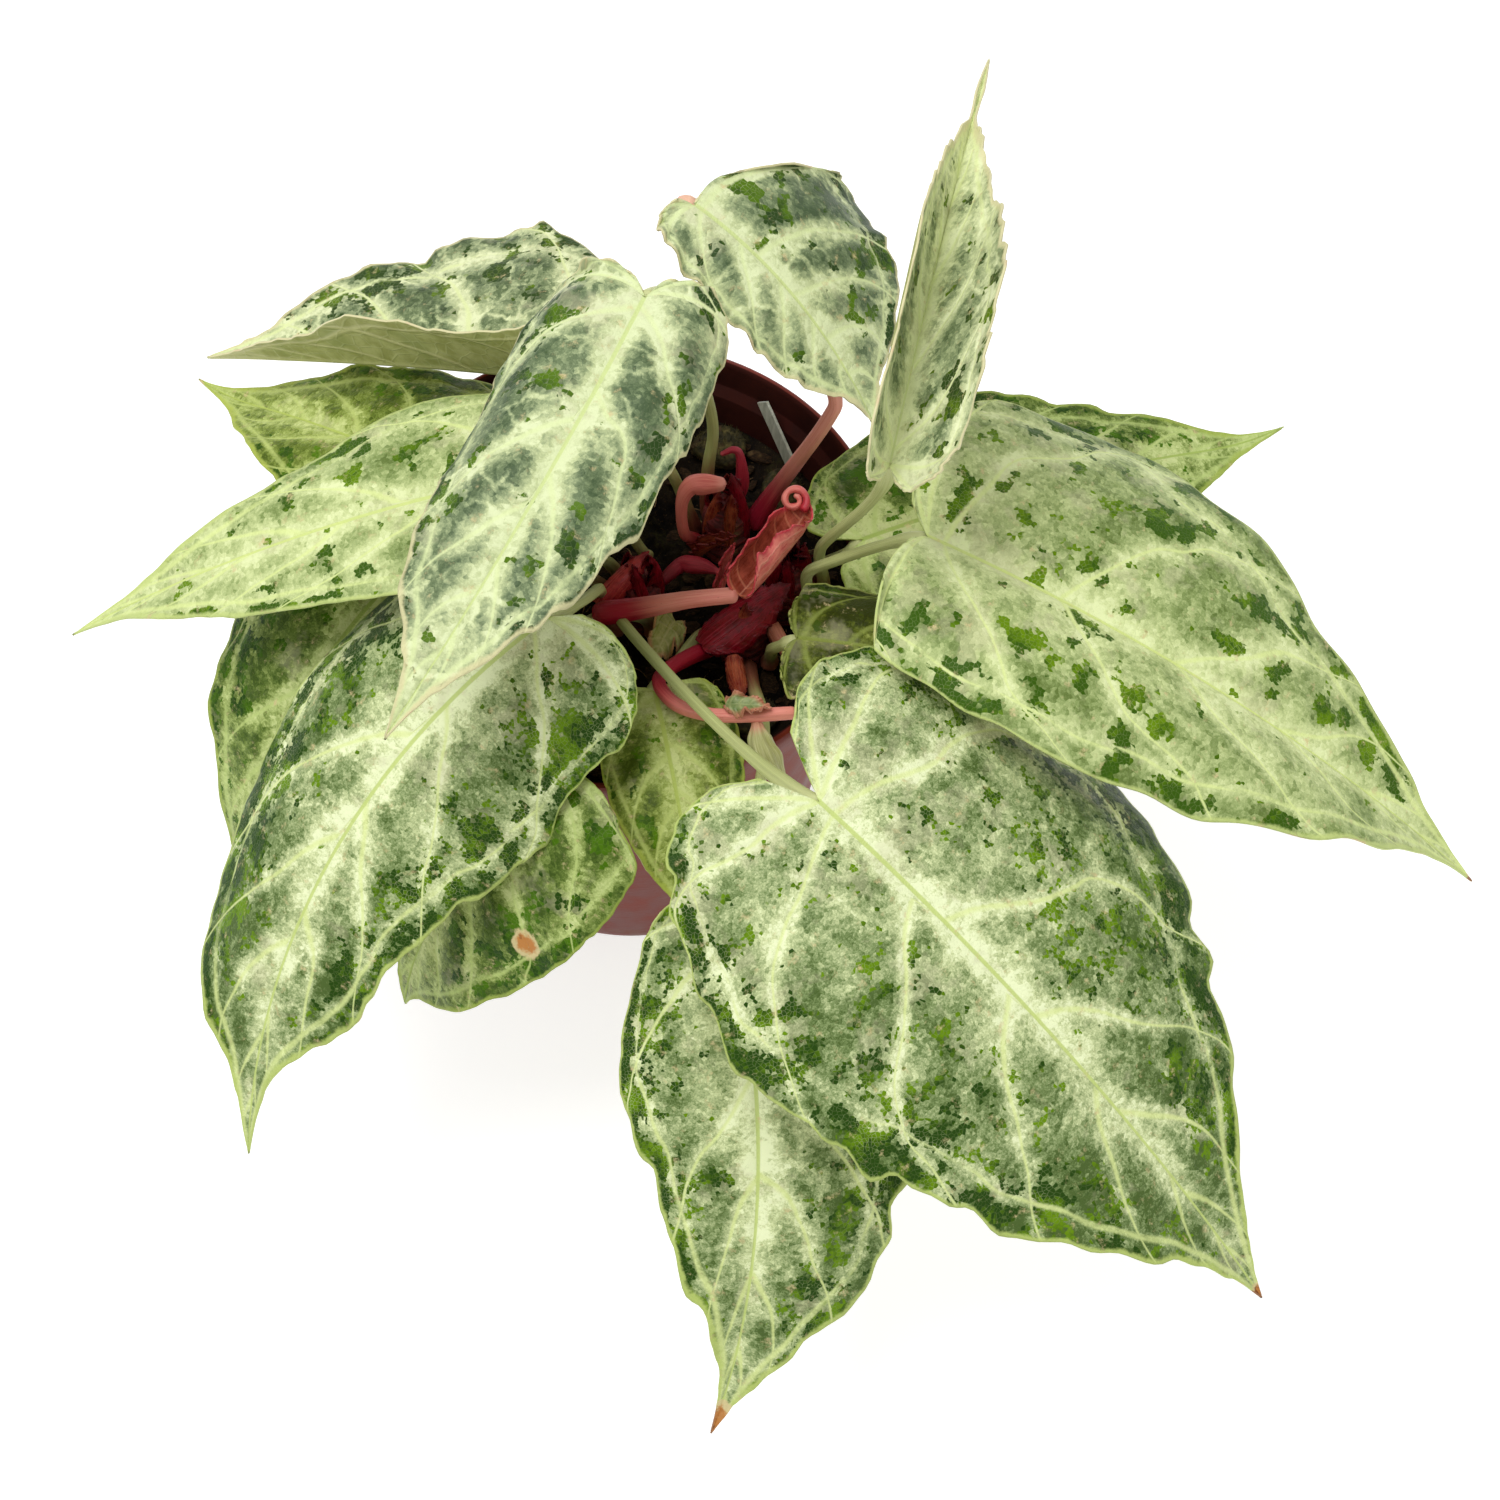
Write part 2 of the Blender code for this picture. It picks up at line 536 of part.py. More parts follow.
PAINTS = {
    "terracotta": paint("terracotta_plastic", (0.42, 0.12, 0.07), 0.45),
    "earth": paint("potting_mix", (0.05, 0.035, 0.022), 0.95),
    "bark": paint("stem_bark", (0.22, 0.04, 0.04), 0.6),
    "leaf": paint("silver_green_leaf", (0.35, 0.45, 0.28), 0.45),
    "stalk": paint("petiole_green", (0.45, 0.50, 0.24), 0.45),
    "pink_stalk": paint("petiole_pink", (0.72, 0.33, 0.27), 0.45),
    "rose": paint("young_rose", (0.72, 0.30, 0.27), 0.45),
    "coral": paint("young_coral", (0.70, 0.22, 0.17), 0.45),
    "crimson": paint("sheath_crimson", (0.24, 0.02, 0.03), 0.45),
    "amber": paint("sheath_amber", (0.35, 0.12, 0.06), 0.5),
    "lime": paint("pale_lime_leaf", (0.55, 0.60, 0.25), 0.5),
    "moss": paint("moss_olive", (0.16, 0.17, 0.05), 0.95),
    "label": paint("grey_plastic", (0.42, 0.45, 0.40), 0.5),
}

make_pot(PAINTS["terracotta"])
make_soil(PAINTS["earth"])
for title, stem in STEMS.items():
    make_stem(f"stem_{title}", stem, PAINTS["bark"])
for title, leaf in LEAVES.items():
    blade(f"blade_{title}", leaf, PAINTS["leaf"], rows=14, columns=8, thickness=BLADE)
    petiole(f"petiole_{title}", leaf, PAINTS["pink_stalk" if title == "back" else "stalk"])
for title, spec in SHOOTS.items():
    shoot(title, spec, PAINTS[spec["color"]])
for title, spec in SCALES.items():
    lance = dict(spec, outline=LANCE, starts=LANCE_STARTS)
    blade(title, lance, PAINTS[spec["color"]], rows=8, columns=4, thickness=SCALE_BLADE)
for title, (place, size) in MOSS.items():
    moss(title, place, size, PAINTS["moss"])
label_foot = (*LABEL_AT, soil_height(*LABEL_AT) + 2.4)
strip("label_strip", label_foot, LABEL_TOP, LABEL_WIDTH, LABEL_THICKNESS, PAINTS["label"])
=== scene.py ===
"""The looks of a potted anthurium: silvery, marbled heart-shaped leaves on long stalks over a round
nursery pot, with red young growth at the crown. Tables are in millimetres and degrees.
"""

import math

import bmesh
import bpy
import numpy as np
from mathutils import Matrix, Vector, noise


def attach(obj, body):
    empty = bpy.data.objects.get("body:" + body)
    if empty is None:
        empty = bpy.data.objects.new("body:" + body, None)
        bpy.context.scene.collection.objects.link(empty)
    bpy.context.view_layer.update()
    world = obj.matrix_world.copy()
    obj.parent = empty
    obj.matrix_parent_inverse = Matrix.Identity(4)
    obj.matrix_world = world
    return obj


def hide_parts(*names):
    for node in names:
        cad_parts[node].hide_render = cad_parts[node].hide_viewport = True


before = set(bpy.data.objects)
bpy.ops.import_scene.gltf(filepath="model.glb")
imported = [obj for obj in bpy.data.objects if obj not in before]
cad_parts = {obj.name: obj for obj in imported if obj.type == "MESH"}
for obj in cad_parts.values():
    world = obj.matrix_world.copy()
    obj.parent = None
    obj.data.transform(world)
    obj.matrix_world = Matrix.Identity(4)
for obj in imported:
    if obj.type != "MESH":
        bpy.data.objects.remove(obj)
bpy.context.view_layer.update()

# The pot is one thin shell of brick-red moulded plastic with a banded rim. It is turned about its
# axis from one profile, and eight round drain holes are cut through its floor. The skin is satin,
# a little mottled, with fine turning lines and pale scuffs. Its inner wall and inner rim are
# painted near-black as painted shade, and made rougher there.
MM = 0.001
POT_HEIGHT, RIM_RADIUS, RIM_BAND, BASE_RADIUS, WALL, FLOOR = 115, 65, 10, 47, 1.6, 3
FOOT_DISC, RIM_STEP, DRAINS, DRAIN_RADIUS, DRAIN_RING = 17, 3, 8, 4, 28


class Socket:
    """A node's output. Operators between sockets, or a socket and a number, add Math nodes."""

    def __init__(self, tree, out=None):
        self.tree, self.out = tree, out

    def node(self, kind, sockets=None, out=0, stops=None, **settings):
        """Any node: its settings are set first, then the values or links of its sockets."""
        made = self.tree.nodes.new("ShaderNode" + kind)
        for key, value in settings.items():
            setattr(made, key, value)
        for number, (place, colour) in enumerate(stops or []):
            row = made.color_ramp.elements
            stop = row[number] if number < 2 else row.new(place)
            stop.position, stop.color = place, colour
        for key, value in (sockets or {}).items():
            if isinstance(value, Socket):
                self.tree.links.new(value.out, made.inputs[key])
            else:
                made.inputs[key].default_value = value
        return Socket(self.tree, made.outputs[out])

    def math(self, operation, other=None, flip=False):
        sides = [other, self] if flip else [self, other]
        given = {i: side for i, side in enumerate(sides) if side is not None}
        return self.node("Math", given, operation=operation)

    def __add__(self, other):
        return self.math("ADD", other)

    __radd__ = __add__

    def __sub__(self, other):
        return self.math("SUBTRACT", other)

    def __rsub__(self, other):
        return self.math("SUBTRACT", other, flip=True)

    def __mul__(self, other):
        return self.math("MULTIPLY", other)

    __rmul__ = __mul__

    def __truediv__(self, other):
        return self.math("DIVIDE", other)

    def __abs__(self):
        return self.math("ABSOLUTE")

    def least(self, other):
        return self.math("MINIMUM", other)

    def most(self, other):
        return self.math("MAXIMUM", other)

    def ease(self, low, high, start=0.0, end=1.0):
        """From start to end, smoothly, as this value goes from low to high."""
        given = {"Value": self, "From Min": low, "From Max": high, "To Min": start, "To Max": end}
        return self.node("MapRange", given, interpolation_type="SMOOTHSTEP")

    def grain(self, size, detail=3.0, roughness=0.5):
        """Noise over this vector, with lumps of about that size."""
        given = {"Vector": self, "Scale": 1 / size, "Detail": detail, "Roughness": roughness}
        return self.node("TexNoise", given, out="Fac")

    def cells(self, size, out="Distance", feature="DISTANCE_TO_EDGE"):
        """Flat cells of about that size over this vector, and how far each place is from their edges."""
        given = {"Vector": self, "Scale": 1 / size}
        return self.node("TexVoronoi", given, out=out, feature=feature, voronoi_dimensions="2D")

    def ramp(self, *stops):
        """A colour that runs through the stops, each a place and a colour, as this value goes up."""
        return self.node("ValToRGB", {"Fac": self}, stops=stops, out="Color")

    def stretched(self, x, y, z=1.0):
        """This vector, with each of its parts multiplied."""
        return self.node("VectorMath", {0: self, 1: (x, y, z)}, out="Vector", operation="MULTIPLY")

    def parts(self, letters="XYZ"):
        """The parts of this vector that the letters name, a socket each."""
        return [self.node("SeparateXYZ", {0: self}, out=letter) for letter in letters]

    def kept(self, name):
        """What the mesh keeps on its points under that name."""
        return self.node("Attribute", attribute_name=name, out="Vector")

    def between(self, low, high):
        """A colour that runs from low to high as this value goes from 0 to 1."""
        given = {0: self, 6: low, 7: high}
        return self.node("Mix", given, out=2, data_type="RGBA", clamp_factor=True)

    def over(self, colour, mask):
        """This colour, with another one where the mask is 1."""
        return mask.between(self, colour)


def rgb(red, green, blue):
    """A linear colour from its screen values, 0 to 255."""
    screen = np.array([red, green, blue]) / 255
    linear = np.where(screen <= 0.04045, screen / 12.92, ((screen + 0.055) / 1.055) ** 2.4)
    return (*linear.tolist(), 1.0)


def new_skin(name, roughness, specular=0.5):
    """A material with one Principled shader, and a socket to start its expressions from."""
    material = bpy.data.materials.new(name)
    material.use_nodes = True
    shader = material.node_tree.nodes["Principled BSDF"]
    shader.inputs["Roughness"].default_value = roughness
    shader.inputs["Specular IOR Level"].default_value = specular
    return material, shader, Socket(material.node_tree)


def wear(shader, height=None, depth=1.0, **inputs):
    """Links expressions to the shader's inputs, and a height in millimetres to its normal."""
    for key, value in inputs.items():
        value.tree.links.new(value.out, shader.inputs[key.replace("_", " ")])
    if height is not None:
        bump = height.node("Bump", {"Height": height, "Distance": MM, "Strength": depth}, out="Normal")
        bump.tree.links.new(bump.out, shader.inputs["Normal"])


def added(name, data):
    """A new object, linked into the scene."""
    obj = bpy.data.objects.new(name, data)
    bpy.context.scene.collection.objects.link(obj)
    return obj


def settle(obj):
    """Makes an object's modifiers part of its mesh."""
    view = bpy.context.evaluated_depsgraph_get()
    settled_mesh = bpy.data.meshes.new_from_object(obj.evaluated_get(view))
    obj.modifiers.clear()
    obj.data = settled_mesh


def lathe(name, profile, steps):
    """A mesh turned about +Z from a profile of radius and height that starts and ends on the axis."""
    mesh = bpy.data.meshes.new(name)
    edges = [(i, i + 1) for i in range(len(profile) - 1)]
    mesh.from_pydata([(r * MM, 0, z * MM) for r, z in profile], edges, [])
    obj = added(name, mesh)
    screw = obj.modifiers.new("turn", "SCREW")
    screw.steps = screw.render_steps = steps
    screw.use_merge_vertices = True
    screw.merge_threshold = 0.02 * MM
    screw.use_smooth_shade = True
    return obj


def place(obj, material, slot, *nodes):
    """Hand a finished piece over: its material, its body, and the nodes it stands for. The slot is not used.
    """
    obj.data.materials.append(material)
    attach(obj, "root")
    if nodes:
        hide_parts(*nodes)


def wall_radius(height):
    """Outer radius of the pot's wall below the rim band."""
    return BASE_RADIUS + (RIM_RADIUS - RIM_STEP - BASE_RADIUS) * height / POT_HEIGHT


rim_foot = POT_HEIGHT - RIM_BAND
pot = lathe("nursery_pot", [
    (0, FLOOR), (BASE_RADIUS - WALL - 3, FLOOR), (BASE_RADIUS - WALL - 1, FLOOR + 0.6),
    (wall_radius(FLOOR + 2) - WALL, FLOOR + 3), (wall_radius(rim_foot) - WALL, rim_foot - 0.5),
    (wall_radius(rim_foot) - WALL + 0.3, rim_foot + 0.4), (RIM_RADIUS - WALL - 1.4, rim_foot + 2),
    (RIM_RADIUS - WALL - 1.1, rim_foot + 3), (RIM_RADIUS - WALL - 0.6, POT_HEIGHT - 1.3),
    (RIM_RADIUS - WALL - 0.3, POT_HEIGHT - 0.5), (RIM_RADIUS - WALL + 0.2, POT_HEIGHT - 0.1),
    (RIM_RADIUS - 0.9, POT_HEIGHT), (RIM_RADIUS - 0.3, POT_HEIGHT - 0.4), (RIM_RADIUS, POT_HEIGHT - 1.4),
    (RIM_RADIUS - 0.1, POT_HEIGHT - 3), (RIM_RADIUS - 0.8, rim_foot + 0.7),
    (RIM_RADIUS - 1.2, rim_foot + 0.1), (wall_radius(rim_foot) + 0.4, rim_foot - 0.1),
    (wall_radius(rim_foot), rim_foot - 0.7),
    (wall_radius(rim_foot - 3), rim_foot - 3), (wall_radius(4), 4), (BASE_RADIUS - 0.1, 1.4),
    (BASE_RADIUS - 0.8, 0.3), (BASE_RADIUS - 2, 0), (BASE_RADIUS - 7.6, 0), (BASE_RADIUS - 8.6, 0.4),
    (BASE_RADIUS - 9, 1), (FOOT_DISC + 1, 1), (FOOT_DISC + 0.3, 0.6), (FOOT_DISC, 0), (0, 0),
], steps=144)
drill = lathe("drain_cutter", [(0, 12), (DRAIN_RADIUS, 12), (DRAIN_RADIUS, -6), (0, -6)], steps=32)
drills = [drill] + [drill.copy() for _ in range(DRAINS - 1)]
for k, cutter in enumerate(drills):
    turn = 2 * math.pi * (k + 0.5) / DRAINS
    cutter.location = (DRAIN_RING * MM * math.cos(turn), DRAIN_RING * MM * math.sin(turn), 0)
    if k:
        bpy.context.scene.collection.objects.link(cutter)
    cut = pot.modifiers.new(f"drain_{k}", "BOOLEAN")
    cut.object = cutter
bpy.context.view_layer.update()
settle(pot)
pot.data.shade_smooth()
pot.data.set_sharp_from_angle(angle=math.radians(38))
for cutter in drills:
    bpy.data.objects.remove(cutter)
brick, shader, start = new_skin("brick_plastic", roughness=0.42, specular=0.12)
spot = start.node("TexCoord", out="Object")
x, y, z = spot.parts()
mottle = spot.grain(9 * MM, 5, 0.6)
lines = spot.stretched(1, 1, 12).grain(5 * MM, 3, 0.7)
scuff = spot.stretched(1, 1, 3).grain(2.4 * MM, 6, 0.75).ease(0.62, 0.74)
scuff = scuff * spot.grain(22 * MM, 2).ease(0.5, 0.62)
dust = z.ease(12 * MM, 0.0) * spot.grain(4 * MM, 4).ease(0.4, 0.6)
paint = mottle.ease(0.3, 0.75).between(rgb(104, 36, 26), rgb(124, 48, 36))
paint = paint.over(rgb(160, 94, 76), scuff * 0.4).over(rgb(112, 84, 66), dust * 0.5)
# Painted shade: the inside of the pot, its inner wall and inner rim, is darkened to near-black and made
# rougher.
across = (x * x + y * y).math("SQRT")
wall_slope = (RIM_RADIUS - RIM_STEP - BASE_RADIUS) / POT_HEIGHT
in_wall = (z * wall_slope + (BASE_RADIUS - 0.8) * MM - across).ease(0, 0.4 * MM)
in_rim = ((RIM_RADIUS - 1.2) * MM - across).ease(0, 0.4 * MM)
inside_shade = in_wall.most(in_rim * z.ease((rim_foot + 0.1) * MM, (rim_foot + 0.5) * MM))
paint = paint.over(rgb(38, 14, 11), inside_shade * mottle.ease(0.2, 0.6, 0.97, 0.88))
wear(shader, lines * 0.12 + spot.grain(0.9 * MM, 2) * 0.06, depth=0.5,
     Base_Color=paint, Roughness=mottle.ease(0.3, 0.7, 0.36, 0.5) + scuff * 0.2 + inside_shade * 0.4)
place(pot, brick, "terracotta_plastic", "pot")

# The soil is dark, damp potting mix, lumpy on top and level at the wall. The heap is a round grid
# raised by the same two noises as the solid, with finer crumbs, and it is closed below.
SOIL_LEVEL = 97
GAP = 0.3
STEM_RADIUS = 6
STEM_FOOT = 78
STEMS = {
    "left": dict(at=(7, -5), top=115, lean=(-3, -2)),
    "back": dict(at=(26, 13), top=114, lean=(0, 3)),
    "right": dict(at=(40, -3), top=113, lean=(2, 0)),
    "middle": dict(at=(30, -17), top=112, lean=(1, 1)),
}


def soil_height(x, y):
    """Height of the lumpy soil, in millimetres, level where it meets the wall."""
    lump = 3 * noise.noise(Vector((x * 0.075, y * 0.075, 3.1)))
    lump += 1.2 * noise.noise(Vector((x * 0.2, y * 0.2, 8.7)))
    inside = wall_radius(SOIL_LEVEL) - WALL - math.hypot(x, y)
    return SOIL_LEVEL + (lump - 1.5) * min(max(inside - 1, 0) / 10, 1)


def crumbs(x, y):
    """Fine lumps on the soil, in millimetres."""
    rough = noise.fractal(Vector((x * 0.35, y * 0.35, 1.7)), 0.7, 2.1, 5)
    pits = noise.noise(Vector((x * 0.9, y * 0.9, 5.2)))
    return 1.1 * rough + 0.5 * pits


def finished(name, work):
    """A new object from a mesh that was being worked on."""
    mesh = bpy.data.meshes.new(name)
    work.to_mesh(mesh)
    work.free()
    return added(name, mesh)


def heap(name, rings, steps, top, foot_radius, foot_height):
    """A closed round heap: a grid of rings with a raised top, a wall and a flat underside."""
    work = bmesh.new()
    turns = [2 * math.pi * k / steps for k in range(steps)]
    centre = work.verts.new((0, 0, (soil_height(0, 0) + crumbs(0, 0)) * MM))
    rows = []
    for share in np.linspace(0, 1, rings)[1:]:
        row = []
        for a in turns:
            x, y = top * share * math.cos(a), top * share * math.sin(a)
            z = soil_height(x, y) + (1 - share**12) * crumbs(x, y)
            row.append(work.verts.new((x * MM, y * MM, z * MM)))
        rows.append(row)
    low = [(foot_radius * math.cos(a), foot_radius * math.sin(a)) for a in turns]
    rows.append([work.verts.new((x * MM, y * MM, foot_height * MM)) for x, y in low])
    for k in range(steps):
        work.faces.new((centre, rows[0][k], rows[0][(k + 1) % steps]))
        for inner, outer in zip(rows, rows[1:]):
            work.faces.new((inner[k], outer[k], outer[(k + 1) % steps], inner[(k + 1) % steps]))
    work.faces.new(rows[-1][::-1])
    obj = finished(name, work)
    obj.data.shade_smooth()
    return obj


soil = heap(
    "potting_soil", rings=76, steps=260, top=wall_radius(SOIL_LEVEL) - WALL - 0.1,
    foot_radius=wall_radius(FLOOR + 3) - WALL - 0.8, foot_height=FLOOR + 0.4,
)
earth, shader, start = new_skin("potting_mix", roughness=0.9, specular=0.1)
spot = start.node("TexCoord", out="Object")
lump = spot.grain(6 * MM, 6, 0.65)
fleck = spot.grain(0.9 * MM, 4, 0.7)
green = spot.grain(12 * MM, 4, 0.6).ease(0.5, 0.62)
dirt = lump.ease(0.35, 0.7).between(rgb(12, 9, 8), rgb(42, 32, 23))
dirt = dirt.over(rgb(86, 68, 46), fleck.ease(0.6, 0.68) * 0.8)
dirt = dirt.over(rgb(50, 50, 22), green * fleck.ease(0.42, 0.6) * 0.55)
wear(shader, lump * 1.2 + fleck * 0.5, depth=0.9, Base_Color=dirt, Roughness=fleck.ease(0.3, 0.7, 0.75, 0.98))
place(soil, earth, "potting_mix", "soil")

# Bark chips and threads of coir lie on the soil. They are small flakes and bent threads of many
# sizes, strewn by chance over the whole mouth but clear of the short stems.
CHIPS, THREADS = 240, 60
THREAD_RADIUS = 0.16


def scattered(name, count, seed, make):
    """One piece of many small closed bits: make(work, draw) adds each at its own place."""
    draw = np.random.default_rng(seed)
    work = bmesh.new()
    for _ in range(count):
        make(work, draw)
    return finished(name, work)


def soil_spot(draw, reach=54):
    """A random place on the soil, clear of the short stems."""
    while True:
        r, turn = reach * math.sqrt(draw.uniform()), draw.uniform(0, 2 * math.pi)
        x, y = r * math.cos(turn), r * math.sin(turn)
        if all(math.hypot(x - s["at"][0], y - s["at"][1]) > STEM_RADIUS + 1 for s in STEMS.values()):
            return x, y


def chip(work, draw):
    """A flake of bark: a stretched low ball with its corners knocked about, pressed into the soil."""
    x, y = soil_spot(draw)
    made = bmesh.ops.create_icosphere(work, subdivisions=2, radius=1)["verts"]
    size = draw.uniform(1.0, 2.6)
    size = size * np.array([draw.uniform(0.8, 1.8), draw.uniform(0.5, 0.9), draw.uniform(0.25, 0.5)])
    turn, tilt = draw.uniform(0, 2 * math.pi), draw.uniform(-0.5, 0.5)
    shift = Vector(draw.uniform(0, 50, 3))
    for v in made:
        bulge = 1 + 0.45 * noise.noise(v.co * 1.3 + shift)
        p = Vector((v.co.x * size[0], v.co.y * size[1], v.co.z * size[2])) * bulge
        p.z += p.x * tilt
        c, s = math.cos(turn), math.sin(turn)
        v.co = Vector((x + c * p.x - s * p.y, y + s * p.x + c * p.y, soil_height(x, y) + 0.5 + p.z)) * MM


def fibre(work, draw):
    """A bent thread of coir that lies on the soil."""
    x, y = soil_spot(draw, 50)
    turn, length, bend = draw.uniform(0, 2 * math.pi), draw.uniform(5, 14), draw.uniform(-1.4, 1.4)
    rings = []
    for k in range(9):
        a = turn + bend * (k / 8 - 0.5)
        x, y = x + length / 8 * math.cos(a), y + length / 8 * math.sin(a)
        if math.hypot(x, y) > 55:
            break
        z = soil_height(x, y) + 1.0 + 0.8 * math.sin(k * 0.8)
        out = Vector((-math.sin(a), math.cos(a), 0))
        up = Vector((0, 0, 1))
        ring = [(out * math.cos(t) + up * math.sin(t)) * THREAD_RADIUS for t in (0.5, 2.1, 3.7, 5.2)]
        rings.append([work.verts.new((Vector((x, y, z)) + p) * MM) for p in ring])
    for a, b in zip(rings, rings[1:]):
        for k in range(4):
            work.faces.new((a[k], b[k], b[(k + 1) % 4], a[(k + 1) % 4]))
    if len(rings) > 1:
        work.faces.new(rings[0])
        work.faces.new(rings[-1][::-1])


chips = scattered("bark_chips", CHIPS, seed=5, make=chip)
bark_brown, shader, start = new_skin("bark_brown", roughness=0.85, specular=0.15)
spot = start.node("TexCoord", out="Object")
strand = spot.stretched(1, 3, 3).grain(1.2 * MM, 4, 0.7)
shade = spot.grain(5 * MM, 2)
tan = strand.ease(0.35, 0.75).between(rgb(32, 23, 16), rgb(84, 61, 41))
tan = tan.over(rgb(124, 100, 68), shade.ease(0.58, 0.68) * 0.6)
wear(shader, strand * 0.5, depth=0.8, Base_Color=tan)
place(chips, bark_brown, "potting_mix")
threads = scattered("coir_threads", THREADS, seed=11, make=fibre)
coir, shader, start = new_skin("coir", roughness=0.8)
spot = start.node("TexCoord", out="Object")
pale = spot.grain(3 * MM).ease(0.4, 0.65).between(rgb(92, 66, 40), rgb(150, 120, 78))
wear(shader, spot.grain(0.4 * MM, 2) * 0.1, depth=0.5, Base_Color=pale)
place(threads, coir, "potting_mix")

# The moss is olive cushions of short pointed shoots on the soil. Each cushion is a low mound where
# the solid's cushion lies, with some hundred small leaflets that stand out of it.
MOSS = {
    "moss_back": dict(at=(24, 43), size=(7, 6, 3), leaflets=520),
    "moss_right": dict(at=(40, 30), size=(5, 6, 2.4), leaflets=380),
    "moss_front": dict(at=(33, -36), size=(6, 5, 2.4), leaflets=260),
}
moss_green, shader, start = new_skin("moss_olive", roughness=0.85)
spot = start.node("TexCoord", out="Object")
tuft = spot.grain(2.5 * MM, 3, 0.6)
olive = tuft.ease(0.4, 0.7).between(rgb(46, 42, 18), rgb(98, 88, 44))
olive = olive.over(rgb(76, 54, 32), spot.grain(4 * MM, 2).ease(0.55, 0.65) * 0.7)
wear(shader, spot.grain(0.5 * MM, 3) * 0.3, depth=0.7, Base_Color=olive)
for title, cushion in MOSS.items():
    at, size, leaflets = cushion.values()
    draw = np.random.default_rng(leaflets)
    work = bmesh.new()
    for v in bmesh.ops.create_icosphere(work, subdivisions=4, radius=1)["verts"]:
        x, y = at[0] + v.co.x * size[0], at[1] + v.co.y * size[1]
        lump = 1 + 0.25 * noise.noise(v.co * 2.3 + Vector((at[0], at[1], 0))) + 0.18 * noise.noise(v.co * 7)
        rise = size[2] * (v.co.z * lump + 1.25) * (0.5 if v.co.z < 0 else 0.85)
        v.co = Vector((x, y, soil_height(x, y) + GAP + rise)) * MM
    work.verts.ensure_lookup_table()
    roots = [v for v in work.verts if v.co.z > (soil_height(at[0], at[1]) + 0.6 * size[2]) * MM]
    for k in draw.integers(0, len(roots), leaflets):
        foot = roots[k].co / MM
        lean = Vector((draw.normal(0, 0.6), draw.normal(0, 0.6), 1)).normalized()
        side = lean.cross(Vector((draw.normal(), draw.normal(), 0.1))).normalized()
        tall, wide = draw.uniform(0.7, 1.5), draw.uniform(0.14, 0.24)
        face = lean.cross(side)
        corners = [side * math.cos(a) + face * math.sin(a) * 0.5 for a in (0, 2.1, 4.2)]
        base = [work.verts.new((foot - lean * 0.3 + corner * wide) * MM) for corner in corners]
        tip = work.verts.new((foot + lean * tall) * MM)
        work.faces.new(base[::-1])
        for i in range(3):
            work.faces.new((base[i], base[(i + 1) % 3], tip))
    place(finished(title + "_tufts", work), moss_green, "moss_olive", title)

# A plain pale strip of plastic stands in the soil and leans on the wall. The solid's shape is
# right, so it keeps its own piece and gets a weathered grey-green finish.
weathered, shader, start = new_skin("weathered_strip", roughness=0.5)
spot = start.node("TexCoord", out="Object")
streak = spot.stretched(1, 1, 0.25).grain(1.5 * MM, 4, 0.6)
grey = streak.ease(0.35, 0.65).between(rgb(178, 182, 170), rgb(214, 216, 204))
grey = grey.over(rgb(92, 84, 62), spot.grain(2 * MM, 5, 0.7).ease(0.6, 0.72) * 0.7)
wear(shader, streak * 0.1, depth=0.4, Base_Color=grey)
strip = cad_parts["label_strip"]
strip.data.materials.clear()
strip.data.materials.append(weathered)

# Four short stems carry the leaves. Each is a stout dark-red rod, ringed by old leaf scars, and is
# swept along its leaning axis with low bulges and a narrower top.


def stem_axis(stem, height):
    """Middle of a short stem at a height."""
    share = (height - STEM_FOOT) / (stem["top"] - STEM_FOOT)
    return np.append(np.add(stem["at"], np.multiply(stem["lean"], share)), height)


def stem_radius(stem, height):
    """Radius of a short stem with its rings of old leaf scars."""
    levels = [STEM_FOOT, stem["top"] - 6, stem["top"]]
    taper = np.interp(height, levels, [STEM_RADIUS - 1, STEM_RADIUS, 3.5])
    return taper + 0.2 * np.sin(np.asarray(height) * 1.4)


